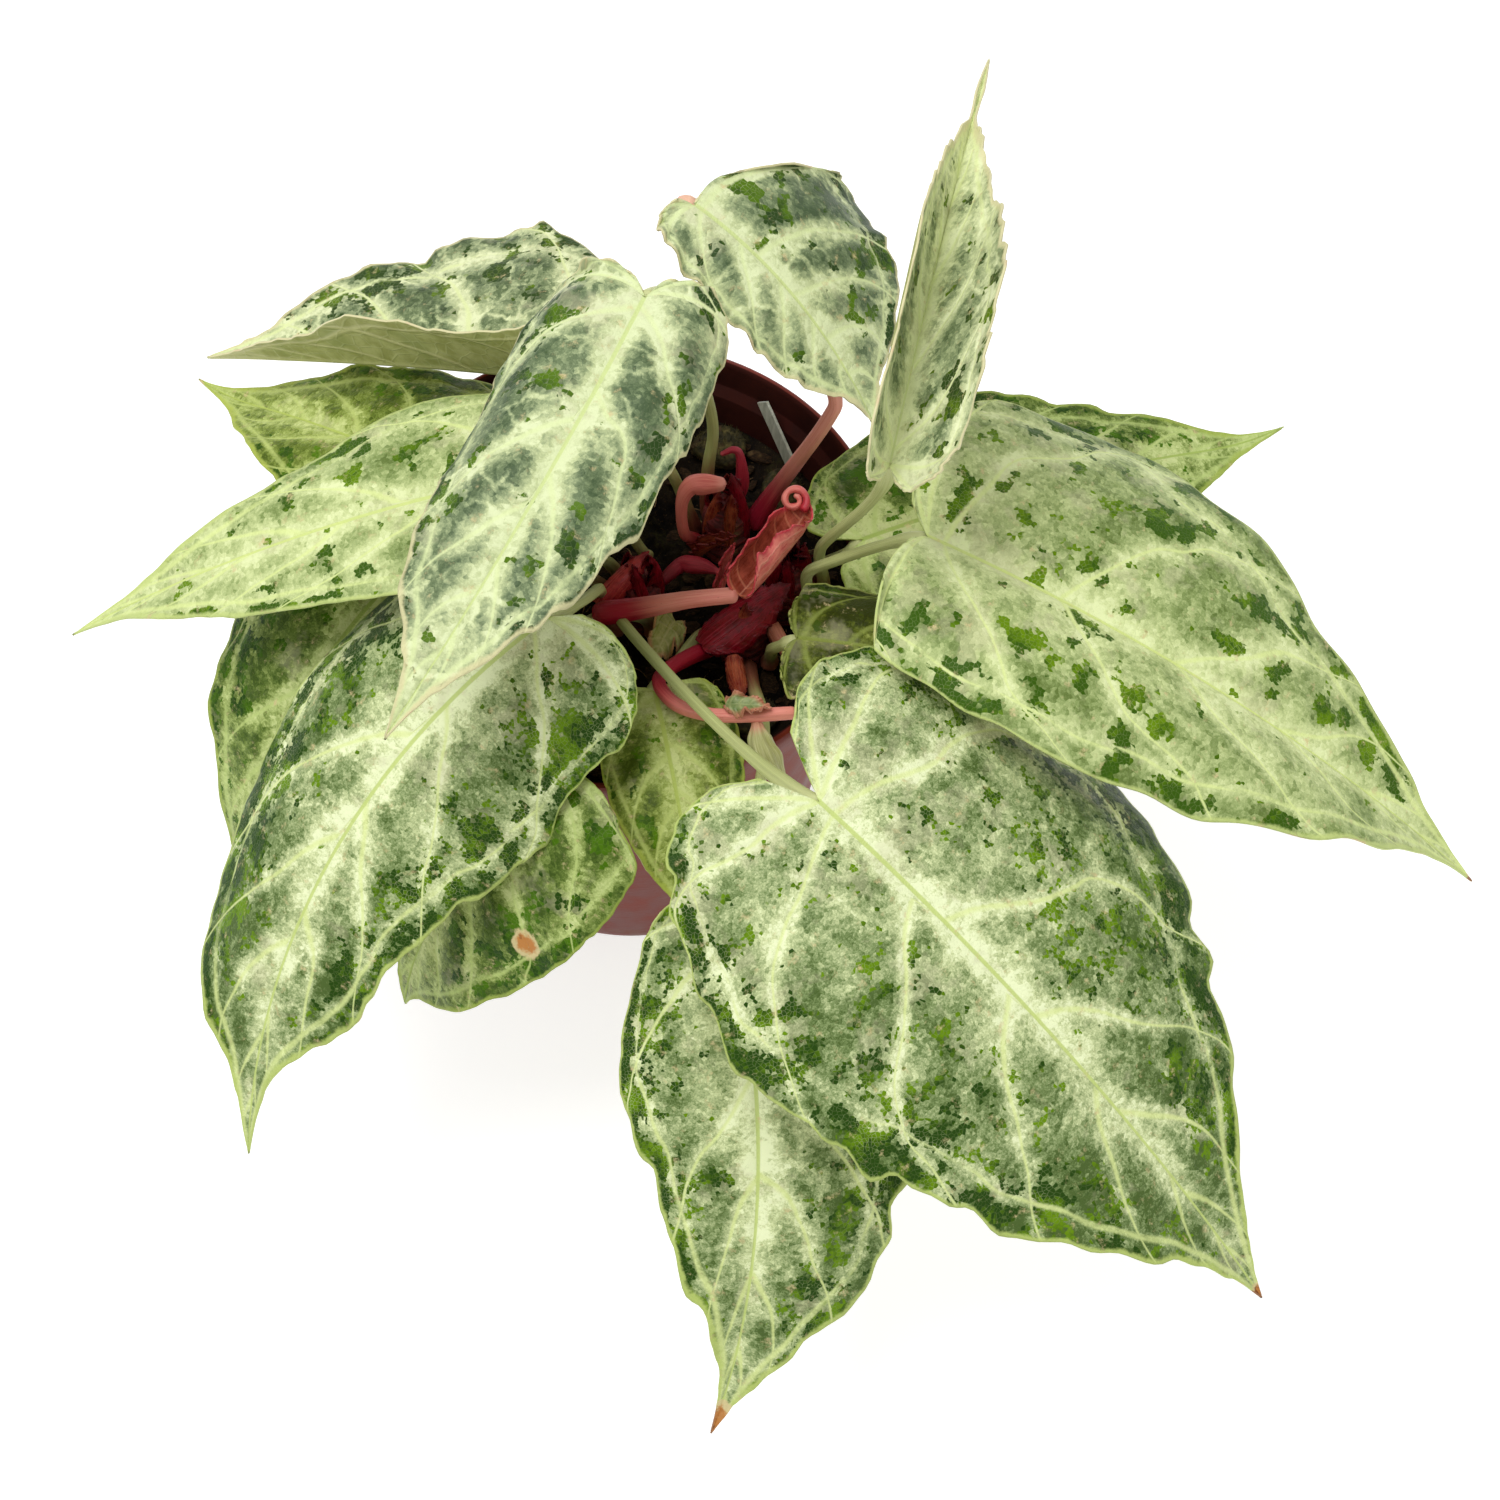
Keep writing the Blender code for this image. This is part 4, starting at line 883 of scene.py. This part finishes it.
def upper_skin(title, look):
    """The marbled upper side: a ground mottled from slate to frosted silver, paler along the veins,
    with broken patches of dark and bright green that gather towards the margin, and painted shade
    darkening the ground towards the tip."""
    material, shader, start = new_skin(title, roughness=0.45, specular=0.13)
    flat = start.kept("flat")
    number, spacing, share = start.kept("veins").parts()
    inset, midrib, collecting = start.kept("rim").parts()
    scorch, down = start.kept("burnt").parts("XY")

    grain = flat.cells(look["cell"], "Position", "F1")
    chance = flat.cells(look["cell"], "Color", "F1").parts("X")[0] - 0.5
    crack = flat.cells(look["cell"])
    lateral = abs((number + 0.5).math("FRACT") - 0.5) * spacing
    ragged = flat.grain(3.5, 5, 0.7) - 0.5
    fine = flat.grain(0.5, 3, 0.8) - 0.5
    mottle = grain.grain(8.0, 6, 0.68) - 0.5
    cloud = flat.grain(24.0, 3, 0.5) - 0.5

    lateral_width = share.ease(0.0, 1.0, 0.6, 0.26)
    midrib_width = down.ease(0.0, 1.0, 0.5, 0.26)
    nearest = (lateral / lateral_width).least(collecting / 0.3) + abs(ragged) * 3.5
    core = nearest.ease(2.1, 0.4)
    rib = (midrib / midrib_width).ease(1.5, 0.8)
    soft = (lateral * 1.3).least(midrib * 0.62).least(collecting * 2.1) + ragged * 8.0
    halo = soft.ease(4.6, 0.0)
    frost = flat.grain(1.1, 4, 0.75).ease(0.49, 0.62)
    haze = (midrib * 0.35 + ragged * 8.0).ease(7.0, 0.0) * down.ease(0.0, 0.5, 0.4, 1.0)
    swirl = flat.node("TexNoise", {"Vector": flat, "Scale": 0.3}, out="Color").stretched(4, 4, 0)
    warp = flat.node("VectorMath", {0: flat, 1: swirl}, out="Vector", operation="ADD")
    net = warp.cells(8.0)

    pane = (lateral.least(collecting).least(midrib) + ragged * 3.0).ease(1.4, 6.0)
    hem = (inset + ragged * 6.0).ease(8.0, 2.0)
    # lift raises or lowers the whole ground: for frost it is painted light, for olive painted shade.
    tone = 0.45 + look["lift"] + mottle * look["mottle"] + cloud * 0.6 + fine * look["sand"]
    tone = tone + chance * 0.2 + frost * 0.1 + haze * 0.12 + halo * look["halo"]
    # Painted shade: the ground darkens towards the tip of the blade.
    tone = tone + down.ease(0.45, 0.0) * 0.07 - down.ease(0.4, 0.85) * look["tip_shade"]
    tone = tone - pane * look["pane"] - hem * 0.09 + share.ease(0.75, 0.15) * 0.07
    tone = tone + (net + ragged * 0.12).ease(0.14, 0.01) * flat.grain(15.0).ease(0.4, 0.62) * look["mesh"]
    places = (0.14, 0.34, 0.52, 0.72, 0.92)
    colour = tone.ramp(*((place, rgb(*shade)) for place, shade in zip(places, look["tones"])))
    dull = (flat.grain(13.0, 4, 0.65) + down.ease(0.5, 0.0) * 0.08).ease(0.56, 0.68)
    colour = colour.over(rgb(186, 180, 148), dull * 0.3)

    cluster = grain.grain(look["blot"], 5, look["torn"]) + (flat.grain(26.0, 2) - 0.5) * 0.55
    cluster = cluster + share.ease(0.3, 0.95) * look["outer"] - halo * 0.05 - haze * 0.05
    cluster = cluster - (collecting + ragged * 2).ease(1.6, 0.0) * 0.06 + chance * 0.09 * look["broken"]
    whole = 1 - (crack + fine * 0.3).ease(0.09, 0.0) * 0.5 * look["broken"]
    patch = (cluster + look["patches"]).ease(0.635, 0.65) * whole * (1 - core) * (1 - rib)
    leafy = flat.grain(12.0, 4, 0.6) + chance * 0.12 + halo * 0.1 - share.ease(0.4, 0.95) * 0.07
    leafy = leafy.ramp((0.44, rgb(*look["deep"])), (0.6, rgb(*look["bright"])))
    colour = colour.over(leafy, patch)

    colour = colour.over(rgb(*look["vein"]), core * 0.68)
    colour = colour.over(rgb(*look["midrib"]), rib * 0.9)
    edge = (inset + ragged * 1.4).ease(0.8, 0.25)
    colour = colour.over(rgb(*look["rim"]), edge * 0.85)
    colour = colour.over(rgb(210, 192, 142), (scorch + ragged * 1.4).ease(0.1, 0.35) * 0.9)
    scorched = mottle.ramp((-0.05, rgb(186, 126, 66)), (0.06, rgb(128, 78, 38)))
    colour = colour.over(scorched, (scorch + ragged * 1.8).ease(0.45, 0.8))
    dip = (lateral / lateral_width).least(midrib / midrib_width).least(collecting / 0.34).ease(3.0, 0.0)
    height = dip * -0.30 + crack.ease(0.0, 0.25) * 0.08 + fine * 0.12 + net.ease(0.0, 0.3) * 0.3
    wear(shader, height, depth=0.5, Base_Color=colour, Roughness=fine * 0.2 + mottle * 0.3 + 0.45)
    return material


def under_skin():
    """The underside: plain olive green with raised pale veins and a faint net."""
    material, shader, start = new_skin("leaf_underside", roughness=0.5)
    flat = start.kept("flat")
    number, spacing = start.kept("veins").parts("XY")
    midrib, collecting = start.kept("rim").parts("YZ")
    lateral = abs((number + 0.5).math("FRACT") - 0.5) * spacing
    nearest = (lateral / 0.5).least(midrib / 0.9).least(collecting / 0.35)
    net = flat.cells(4.0)
    colour = flat.grain(4.0, 5, 0.6).ease(0.35, 0.65).between(rgb(152, 154, 88), rgb(178, 180, 118))
    colour = colour.over(rgb(136, 146, 82), flat.grain(14.0).ease(0.52, 0.66) * 0.5)
    colour = colour.over(rgb(190, 194, 142), net.ease(0.08, 0.02) * 0.25)
    colour = colour.over(rgb(202, 200, 142), nearest.ease(1.8, 0.6) * 0.6)
    height = nearest.ease(2.4, 0.0) * 0.5 + net.ease(0.1, 0.0) * 0.12
    wear(shader, height, depth=0.6, Base_Color=colour)
    return material


def edge_skin(title, look):
    """The thin pale edge of the blade."""
    material, shader, start = new_skin(title, roughness=0.5)
    blush = start.kept("flat").grain(7.0, 4).ease(0.55, 0.7) * 0.6
    scorch = start.kept("burnt").parts("X")[0]
    colour = blush.between(rgb(*look["rim"]), rgb(214, 176, 140))
    wear(shader, Base_Color=colour.over(rgb(150, 100, 56), scorch.ease(0.3, 0.7)))
    return material


def bezier(a, b, c, d, count):
    """Points along a cubic curve."""
    t = np.linspace(0, 1, count)[:, None]
    return (1 - t) ** 3 * a + 3 * (1 - t) ** 2 * t * b + 3 * (1 - t) * t**2 * c + t**3 * d


def petiole_path(leaf, count):
    """From beside the short stem, up and out to just under the sinus of the blade."""
    stem = STEMS[leaf["stem"]]
    turn = math.radians(leaf["start"])
    out = np.array([math.cos(turn), math.sin(turn), 0])
    clear = leaf.get("clear", PETIOLE_FOOT + GAP)
    base = stem_axis(stem, PETIOLE_START) + out * (stem_radius(stem, PETIOLE_START) + clear)
    _, middle, direction, _, normal = midrib_curve(leaf)
    rise = math.radians(leaf.get("meet", 40))
    arrive = direction[0] * math.cos(rise) + normal[0] * math.sin(rise)
    end = middle[0] - normal[0] * (BLADE / 2 + GAP) - arrive * leaf.get("setback", 1.5)
    span = np.linalg.norm(end - base)
    leave = np.array([0, 0, 1]) + leaf.get("lean", 0.15) * out
    if "via" in leaf:
        mid = np.array(leaf["via"], float)
        pull, before, after = (end - base) / span, span * 0.25, span * 0.3
        if leaf.get("taut"):
            before, after = np.linalg.norm(mid - base) / 3, np.linalg.norm(end - mid) / 4
            pull = leaf["taut"] * (mid - base) / before + (end - mid) / after
            pull = pull / np.linalg.norm(pull)
        first = bezier(base, base + leave * before, mid - pull * before, mid, count // 2 + 1)
        last = bezier(mid, mid + pull * min(before, after), end - arrive * after, end, count // 2 + 1)
        return np.vstack([first, last[1:]])
    return bezier(base, base + leave * span * 0.33, end - arrive * span * 0.33, end, count)


def stalk_skin(title, foot, body, streak_tone, top, reach=0.3):
    """Ridged stalk: its own colour at the foot, streaks along it, and paler under the blade."""
    material, shader, start = new_skin(title, roughness=0.42)
    along = start.kept("along")
    share = along.parts("X")[0]
    streak = along.stretched(3.0, 60).grain(1.0, 4, 0.6)
    fleck = start.node("TexCoord", out="Object").grain(0.8 * MM, 3, 0.6)
    colour = (streak.ease(0.42, 0.66) * 0.8).between(rgb(*body), rgb(*streak_tone))
    colour = colour.over(rgb(*foot), (share + (streak - 0.5) * 0.25).ease(reach, reach * reach))
    colour = colour.over(rgb(*top), share.ease(0.86, 0.96) * 0.7)
    colour = colour.over(rgb(126, 70, 46), fleck.ease(0.68, 0.74) * 0.35)
    wear(shader, streak * 0.35 + fleck * 0.05, depth=0.6,
         Base_Color=colour, Roughness=streak.ease(0.3, 0.7, 0.36, 0.5))
    return material


def ridged(share, turn):
    """The shape of a stalk across: five low ridges and a groove."""
    return 1 + 0.05 * math.cos(5 * turn + 2 * share) - 0.05 * max(0.0, math.cos(turn)) ** 6


green_stalk = stalk_skin("stalk_green", (146, 84, 64), (184, 190, 126), (158, 166, 98), (204, 208, 150))
pink_stalk = stalk_skin("stalk_pink", (176, 30, 56), (244, 166, 148), (226, 128, 116), (222, 190, 156))
underside = under_skin()
skins = {}
for title, look in LOOKS.items():
    skins[title] = (upper_skin(f"leaf_{title}", look), underside, edge_skin(f"edge_{title}", look))
for number, (title, leaf) in enumerate(LEAVES.items()):
    long = np.linalg.norm(np.subtract(leaf["tip"], leaf["attach"]))
    rows = int(np.interp(long, [60, 150], [84, 132]))
    columns = int(np.interp(max(leaf["half"]), [17, 59], [20, 36]))
    seed = 11 + 7 * number
    blade = sheet_mesh(f"leaf_{title}", leaf, rows, columns, seed, SKIN, skins[leaf["look"]])
    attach(blade, "root")
    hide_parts(f"blade_{title}")
    path = petiole_path(leaf, count=61)
    share = np.linspace(0, 1, len(path))
    thick = [PETIOLE_FOOT, PETIOLE_MID * 1.15, PETIOLE_MID, PETIOLE_NECK, PETIOLE_TOP * 1.12, PETIOLE_TOP]
    radii = np.interp(share, [0, 0.12, 0.3, 0.84, 0.93, 1], thick) * leaf.get("stout", 1)
    stalk = swept(f"stalk_{title}", path, radii, sides=24, shape=ridged)
    if title == "back":
        place(stalk, pink_stalk, "petiole_pink", f"petiole_{title}")
    else:
        place(stalk, green_stalk, "petiole_green", f"petiole_{title}")

# Young growth stands at the crown: pink and red stalks, leaves that are still rolled or folded, and
# a dry sheath. Each is a soft round shoot that leaves a short stem, swept along its own curve.
SHOOTS = {
    "young_petiole": dict(
        stem="left", start=-105, foot=111, clear=1.7, color="rose",
        points=[(-2.6, -19.8, 119), (6.4, -21.6, 124), (17.5, -22.6, 129), (28, -23, 131.6)],
        radii=(2.4, 2.9, 2.6, 2.1, 1.9),
    ),
    "curled_petiole": dict(
        stem="middle", start=-150, foot=105, color="rose",
        points=[(18, -28, 113), (13, -36, 120), (11, -43, 125), (15, -49, 126), (22, -52, 126.5),
                (31, -53, 127.5), (41.5, -52.8, 128.3)],
        radii=(2.0, 2.0, 1.8, 1.6, 1.6, 1.6, 1.6, 1.5),
    ),
    "rolled_leaf": dict(
        stem="back", start=-155, foot=103, color="coral",
        points=[(16, 8, 112), (15.5, 10, 121), (17.5, 12, 125.5), (21, 12.5, 126), (25, 12.5, 126)],
        radii=(1.7, 1.4, 1.5, 2.3, 2.6, 1.8),
    ),
    "red_spike": dict(
        stem="back", start=75, foot=103, clear=2.6, color="crimson",
        points=[(30, 22.8, 112), (29.5, 25, 120), (28, 25.5, 122), (25.2, 25, 121)],
        radii=(2.0, 1.8, 1.1, 0.9, 0.6),
    ),
    "bean_leaf": dict(
        stem="left", start=35, foot=106, clear=0.7, color="crimson",
        points=[(15, 1, 108), (18, 0.5, 109), (21, 0, 109), (24, -1, 108.5)],
        radii=(1.3, 1.9, 2.2, 1.8, 0.8),
    ),
    "dry_sheath": dict(
        stem="middle", start=-15, foot=104, color="amber",
        points=[(37.6, -20, 112.5), (40.5, -26.4, 113.2), (44.5, -34, 111.5)], radii=(1.6, 1.9, 1.7, 1.1),
    ),
}
SLOTS = dict(
    scarlet="sheath_crimson", rose="young_rose", coral="young_coral", crimson="sheath_crimson",
    amber="sheath_amber", lime="pale_lime_leaf", moss="pale_lime_leaf",
)
YOUNG = dict(
    rose=stalk_skin("young_rose", (168, 14, 46), (238, 152, 136), (222, 108, 104), (226, 140, 124), 0.66),
    coral=stalk_skin("young_coral", (190, 44, 60), (236, 134, 122), (214, 88, 88), (242, 160, 144)),
    crimson=stalk_skin("young_crimson", (128, 8, 30), (190, 50, 72), (146, 16, 44), (206, 80, 92)),
    amber=stalk_skin("young_amber", (120, 30, 34), (186, 116, 92), (142, 66, 56), (206, 146, 118)),
)
for title, spec in SHOOTS.items():
    stem, turn = STEMS[spec["stem"]], math.radians(spec["start"])
    out = np.array([math.cos(turn), math.sin(turn), 0])
    clear = spec.get("clear", spec["radii"][0] + GAP)
    first = stem_axis(stem, spec["foot"]) + out * (stem_radius(stem, spec["foot"]) + clear)
    points = np.vstack([first, np.array(spec["points"], float)])
    at = np.linspace(0, len(points) - 1, 48)
    radii = smooth(spec["radii"], at)[:, 0]
    shoot = swept(f"shoot_{title}", smooth(points, at), radii, sides=24, shape=ridged)
    place(shoot, YOUNG[spec["color"]], SLOTS[spec["color"]], title)

# Young leaves and sheaths stand among the shoots. They are small thin blades made as the leaves
# are, with a plainer skin: flushed, veined, and of another colour at the rim.
LANCE = [
    (0.30, -0.02), (0.55, 0.04), (0.78, 0.12), (0.93, 0.22), (1.00, 0.34), (0.97, 0.46), (0.87, 0.58),
    (0.70, 0.70), (0.50, 0.80), (0.30, 0.88), (0.14, 0.94), (0.05, 0.975), (0.0, 1.0),
]
BOAT = [
    (0.34, -0.03), (0.62, 0.03), (0.84, 0.11), (0.96, 0.21), (1.00, 0.33), (1.00, 0.45), (0.94, 0.57),
    (0.84, 0.68), (0.72, 0.78), (0.60, 0.86), (0.48, 0.925), (0.30, 0.97), (0.0, 1.0),
]
LANCE_STARTS = [0, 0, 0.02, 0.08, 0.17, 0.28, 0.40, 0.53, 0.66, 0.78, 0.88, 0.95, 1.0]
SCALES = {
    "young_leaf": dict(
        attach=(29.6, -23.4, 132.2), tip=(45.8, -3.8, 141), arch=-26, hook=-50, half=(13.8, 10.4),
        fold=(26, 20), curl=(56, 50), wave=0.8, phase=0.3, color="coral", back="rose", crimp=0.5,
        outline=BOAT,
    ),
    "crimson_sheath": dict(
        attach=(20.5, -25, 113.5), tip=(42, -11.5, 119), arch=30, half=(8.2, 8.2), fold=(-10, -10),
        curl=(-30, -30), wave=0.4, phase=2.0, color="crimson",
    ),
    "red_sheath": dict(
        attach=(-5, -14.5, 115.5), tip=(8, -3, 120), arch=50, half=(6, 5), fold=(-14, -18),
        curl=(-50, -50), wave=0.5, phase=1.0, color="scarlet",
    ),
    "amber_sheath": dict(
        attach=(19, 5.5, 105), tip=(29, 5, 115), arch=20, half=(4, 4), fold=(50, 50), curl=(20, 20),
        wave=0.4, phase=4.0, color="amber",
    ),
    "folded_leaf": dict(
        attach=(25.3, -9.7, 112), tip=(28.4, -3.8, 125), arch=20, half=(4.6, 4.6), fold=(52, 52),
        curl=(30, 30), wave=0.5, phase=5.0, color="rose",
    ),
    "hanging_sheath": dict(
        attach=(28, -28.5, 114.6), tip=(30, -41, 115), arch=30, half=(4.5, 4.5), fold=(-20, -20),
        curl=(-40, -40), wave=0.4, phase=0.0, color="amber",
    ),
    "pale_leaf": dict(
        attach=(14, -13.5, 106), tip=(9, -28.5, 110.5), arch=50, half=(6.2, 5.4), fold=(24, 10),
        curl=(40, -50), wave=1.2, phase=3.0, color="lime", crimp=1.8,
    ),
    "crumpled_leaf": dict(
        attach=(26.5, -51, 129.2), tip=(37, -53, 130.8), arch=20, half=(2.8, 2.8), fold=(30, 30),
        curl=(-30, -30), wave=0.8, phase=1.5, color="moss", crimp=0.9,
    ),
    "pink_tip": dict(
        attach=(-10.5, -68, 127), tip=(-3.5, -75.5, 122.5), arch=20, half=(2.4, 2.4), fold=(30, 30),
        curl=(10, 10), wave=0.3, phase=0.4, color="rose",
    ),
}
SCALE_THICKNESS = 0.45


def flush_skin(title, ground, blush, vein, rim, across=False, hem=1.5):
    """A thin young blade: two tones that run into each other, veins along it or across, and a rim."""
    material, shader, start = new_skin(title, roughness=0.32, specular=0.3)
    flat = start.kept("flat")
    number, spacing, share = start.kept("veins").parts()
    inset, midrib = start.kept("rim").parts("XY")
    mist = flat.grain(2.5, 5, 0.65)
    if across:
        line = (abs((number + 0.5).math("FRACT") - 0.5) * spacing).least(midrib).ease(0.45, 0.1)
    else:
        line = abs((share * 5 + mist * 0.5).math("FRACT") - 0.5).ease(0.14, 0.0)
    streak = flat.stretched(1.0, 0.12).grain(0.9, 4, 0.7)
    colour = (mist * 0.6 + streak * 0.4).ease(0.38, 0.62).between(rgb(*ground), rgb(*blush))
    colour = colour.over(rgb(*vein), line * 0.45)
    colour = colour.over(rgb(*rim), (inset + mist * 0.9).ease(hem, 0.35 * hem) * 0.85)
    wear(shader, line * 0.2 + streak * 0.25 + flat.grain(0.4, 2) * 0.1, depth=0.6,
         Base_Color=colour, Roughness=streak.ease(0.3, 0.7, 0.24, 0.42))
    return material


FLUSHES = {
    "rose": dict(ground=(206, 92, 92), blush=(226, 136, 120), vein=(236, 168, 148), rim=(176, 36, 58)),
    "coral": dict(
        ground=(138, 58, 40), blush=(192, 98, 76), vein=(228, 150, 116), rim=(210, 66, 80),
        across=True, hem=2.6,
    ),
    "crimson": dict(ground=(100, 2, 16), blush=(150, 14, 38), vein=(176, 50, 66), rim=(84, 2, 16)),
    "scarlet": dict(ground=(150, 30, 42), blush=(196, 66, 66), vein=(208, 96, 84), rim=(126, 14, 30)),
    "amber": dict(ground=(120, 32, 26), blush=(178, 88, 58), vein=(200, 122, 84), rim=(96, 14, 22)),
    "lime": dict(
        ground=(150, 156, 80), blush=(184, 184, 116), vein=(206, 200, 140), rim=(206, 150, 110),
        across=True,
    ),
    "moss": dict(
        ground=(96, 118, 62), blush=(148, 160, 108), vein=(176, 184, 128), rim=(206, 128, 108),
        across=True,
    ),
}
FLUSH = {tone: flush_skin(f"flush_{tone}", **colours) for tone, colours in FLUSHES.items()}
for number, (title, spec) in enumerate(SCALES.items()):
    lance = dict(crimp=0.7, outline=LANCE, starts=LANCE_STARTS, quilt=0.1, burnt=0) | spec
    sides = [FLUSH[tone] for tone in (spec["color"], spec.get("back", spec["color"]), spec["color"])]
    scale = sheet_mesh(
        f"scale_{title}", lance, rows=90, columns=20, seed=211 + 5 * number,
        thickness=SCALE_THICKNESS, skins=sides,
    )
    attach(scale, "root")
    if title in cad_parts:
        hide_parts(title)

# The young leaf ends in a rolled tip: a narrow strip of it that curls round on itself like a
# watch spring. A pale ribbed bud hangs from the end of the curled stalk.
ROLL_CENTRE = (42.2, -3.2, 141.5)
roll_right, roll_up = np.array([1, 0, 0]), np.array([0, 0.866, 0.5])
angles = np.radians(np.linspace(-45, 430, 90))
reach = np.interp(angles, [angles[0], angles[-1]], [3.1, 1.0])
roll = np.outer(reach * np.cos(angles), roll_right) + np.outer(reach * np.sin(angles), roll_up)


def strap(share, turn):
    """The shape of the rolled strip across: flat, with a crimped edge."""
    return 1 / math.hypot(math.cos(turn) / 2.4, math.sin(turn)) * (1 + 0.08 * math.sin(30 * share))


start_guide = math.cos(angles[0]) * roll_right + math.sin(angles[0]) * roll_up
coil_width = np.interp(angles, [angles[0], angles[-1]], [0.95, 0.62])
coil = swept(
    "young_leaf_rolled_tip", roll + ROLL_CENTRE, coil_width, sides=20, shape=strap, guide=start_guide)
place(coil, YOUNG["coral"], "young_coral")
bud_pale = stalk_skin("bud_pale", (206, 150, 120), (172, 172, 112), (206, 204, 156), (140, 140, 80))
bud_at = np.linspace(0, 3, 40)
bud_path = smooth([(33.6, -54.4, 126.2), (34.2, -57.2, 124), (36.2, -60.2, 120), (39, -63.2, 115)], bud_at)
bud_width = smooth([1.2, 2.5, 3.1, 1.5], bud_at)[:, 0]


def ribbed(share, turn):
    """The shape of the bud across: seven ribs, a little uneven."""
    return 1 + 0.12 * math.cos(7 * turn + 1.2 * share) + 0.06 * math.sin(19 * share + 2 * turn)


bud = swept("ribbed_bud", bud_path, bud_width, sides=42, shape=ribbed)
place(bud, bud_pale, "pale_lime_leaf")

# Old sheaths stand round the top of each short stem: thin pointed scales that wrapped the leaves
# before they opened, crimson where they are fresh and amber where they have dried.
BRACT_THICKNESS = 0.35
RINGS = {
    "left": dict(turns=(20, 95, 150, 215, 300), tall=13, dry=()),
    "back": dict(turns=(-20, 60, 130, 200, 270, 320), tall=12, dry=(1, 3, 4)),
    "right": dict(turns=(10, 80, 150, 215, 285), tall=14, dry=(2,)),
    "middle": dict(turns=(15, 90, 160, 235, 310), tall=14, dry=(3,)),
}
for number, (title, ring) in enumerate(RINGS.items()):
    stem = STEMS[title]
    draw = np.random.default_rng(40 + number)
    for k, turn in enumerate(ring["turns"]):
        around = math.radians(turn)
        out = np.array([math.cos(around), math.sin(around), 0])
        side = np.array([-out[1], out[0], 0])
        low = draw.uniform(99, 103)
        foot = stem_axis(stem, low) + out * (stem_radius(stem, low) + 0.5)
        high = stem["top"] + ring["tall"] * draw.uniform(0.35, 1.0)
        point = stem_axis(stem, stem["top"]) + out * draw.uniform(0.5, 3.5) + side * draw.uniform(-2, 2)
        point[2] = high
        tone = "amber" if k in ring["dry"] else "crimson"
        bract_shape = dict(
            attach=foot, tip=point, arch=draw.uniform(20, 50), half=(5.2, 5.2), fold=(-26, -26),
            curl=(-60, -60), wave=0.5, phase=draw.uniform(0, 6), crimp=1.4, outline=LANCE,
            starts=LANCE_STARTS, quilt=0.1, burnt=0,
        )
        bract = sheet_mesh(
            f"old_sheath_{title}_{k + 1}", bract_shape, rows=44, columns=12,
            seed=401 + 10 * number + k, thickness=BRACT_THICKNESS, skins=[FLUSH[tone]] * 3,
        )
        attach(bract, "root")

# The floor is plain and pale, and it glows a little so that it stays white. The light is a white
# world with two large soft lamps above the plant.
bpy.ops.mesh.primitive_plane_add(size=12)
studio_floor = bpy.context.object
studio_floor.name = "floor"
floor_skin, shader, start = new_skin("floor", roughness=0.9, specular=0.1)
shader.inputs["Base Color"].default_value = (0.6, 0.6, 0.6, 1)
shader.inputs["Emission Color"].default_value = (1, 1, 1, 1)
shader.inputs["Emission Strength"].default_value = 0.7
studio_floor.data.materials.append(floor_skin)

world = bpy.data.worlds.new("studio")
bpy.context.scene.world = world
world.use_nodes = True
world.node_tree.nodes["Background"].inputs["Color"].default_value = (1.0, 1.0, 1.0, 1)
world.node_tree.nodes["Background"].inputs["Strength"].default_value = 0.57
LAMP_AIM = (0.03, -0.04, 0.12)
LAMPS = {
    "key": dict(at=(-0.3, 0.0, 1.25), size=0.7, watts=9.7),
    "fill": dict(at=(0.7, -0.9, 0.9), size=1.0, watts=2.0),
}
for title, kind in LAMPS.items():
    lamp = bpy.data.lights.new(title, "AREA")
    lamp.size, lamp.energy = kind["size"], kind["watts"]
    light = added(title, lamp)
    light.location = kind["at"]
    light.rotation_euler = (Vector(LAMP_AIM) - Vector(kind["at"])).to_track_quat("-Z", "Y").to_euler()

# The camera is where the photograph's was, looking down at the crown. PHOTO_SCALE is how many
# millimetres a pixel of the photograph spans at the aim.
CAMERA_AIM, CAMERA_AWAY, CAMERA_TILT = (32, -41, 91), 650, 60
PHOTO_SCALE, PHOTO_PIXELS = 0.241, 1500
lens = bpy.data.cameras.new("camera")
lens.sensor_width = 36
lens.lens = lens.sensor_width * (CAMERA_AWAY / PHOTO_SCALE) / PHOTO_PIXELS
camera = added("camera", lens)
look_down = math.radians(CAMERA_TILT)
away = Vector((0, -math.cos(look_down), math.sin(look_down))) * CAMERA_AWAY
camera.location = (Vector(CAMERA_AIM) + away) * MM
camera.rotation_euler = (math.radians(90) - look_down, 0, 0)
bpy.context.scene.camera = camera
bpy.context.scene.view_settings.view_transform = "Standard"
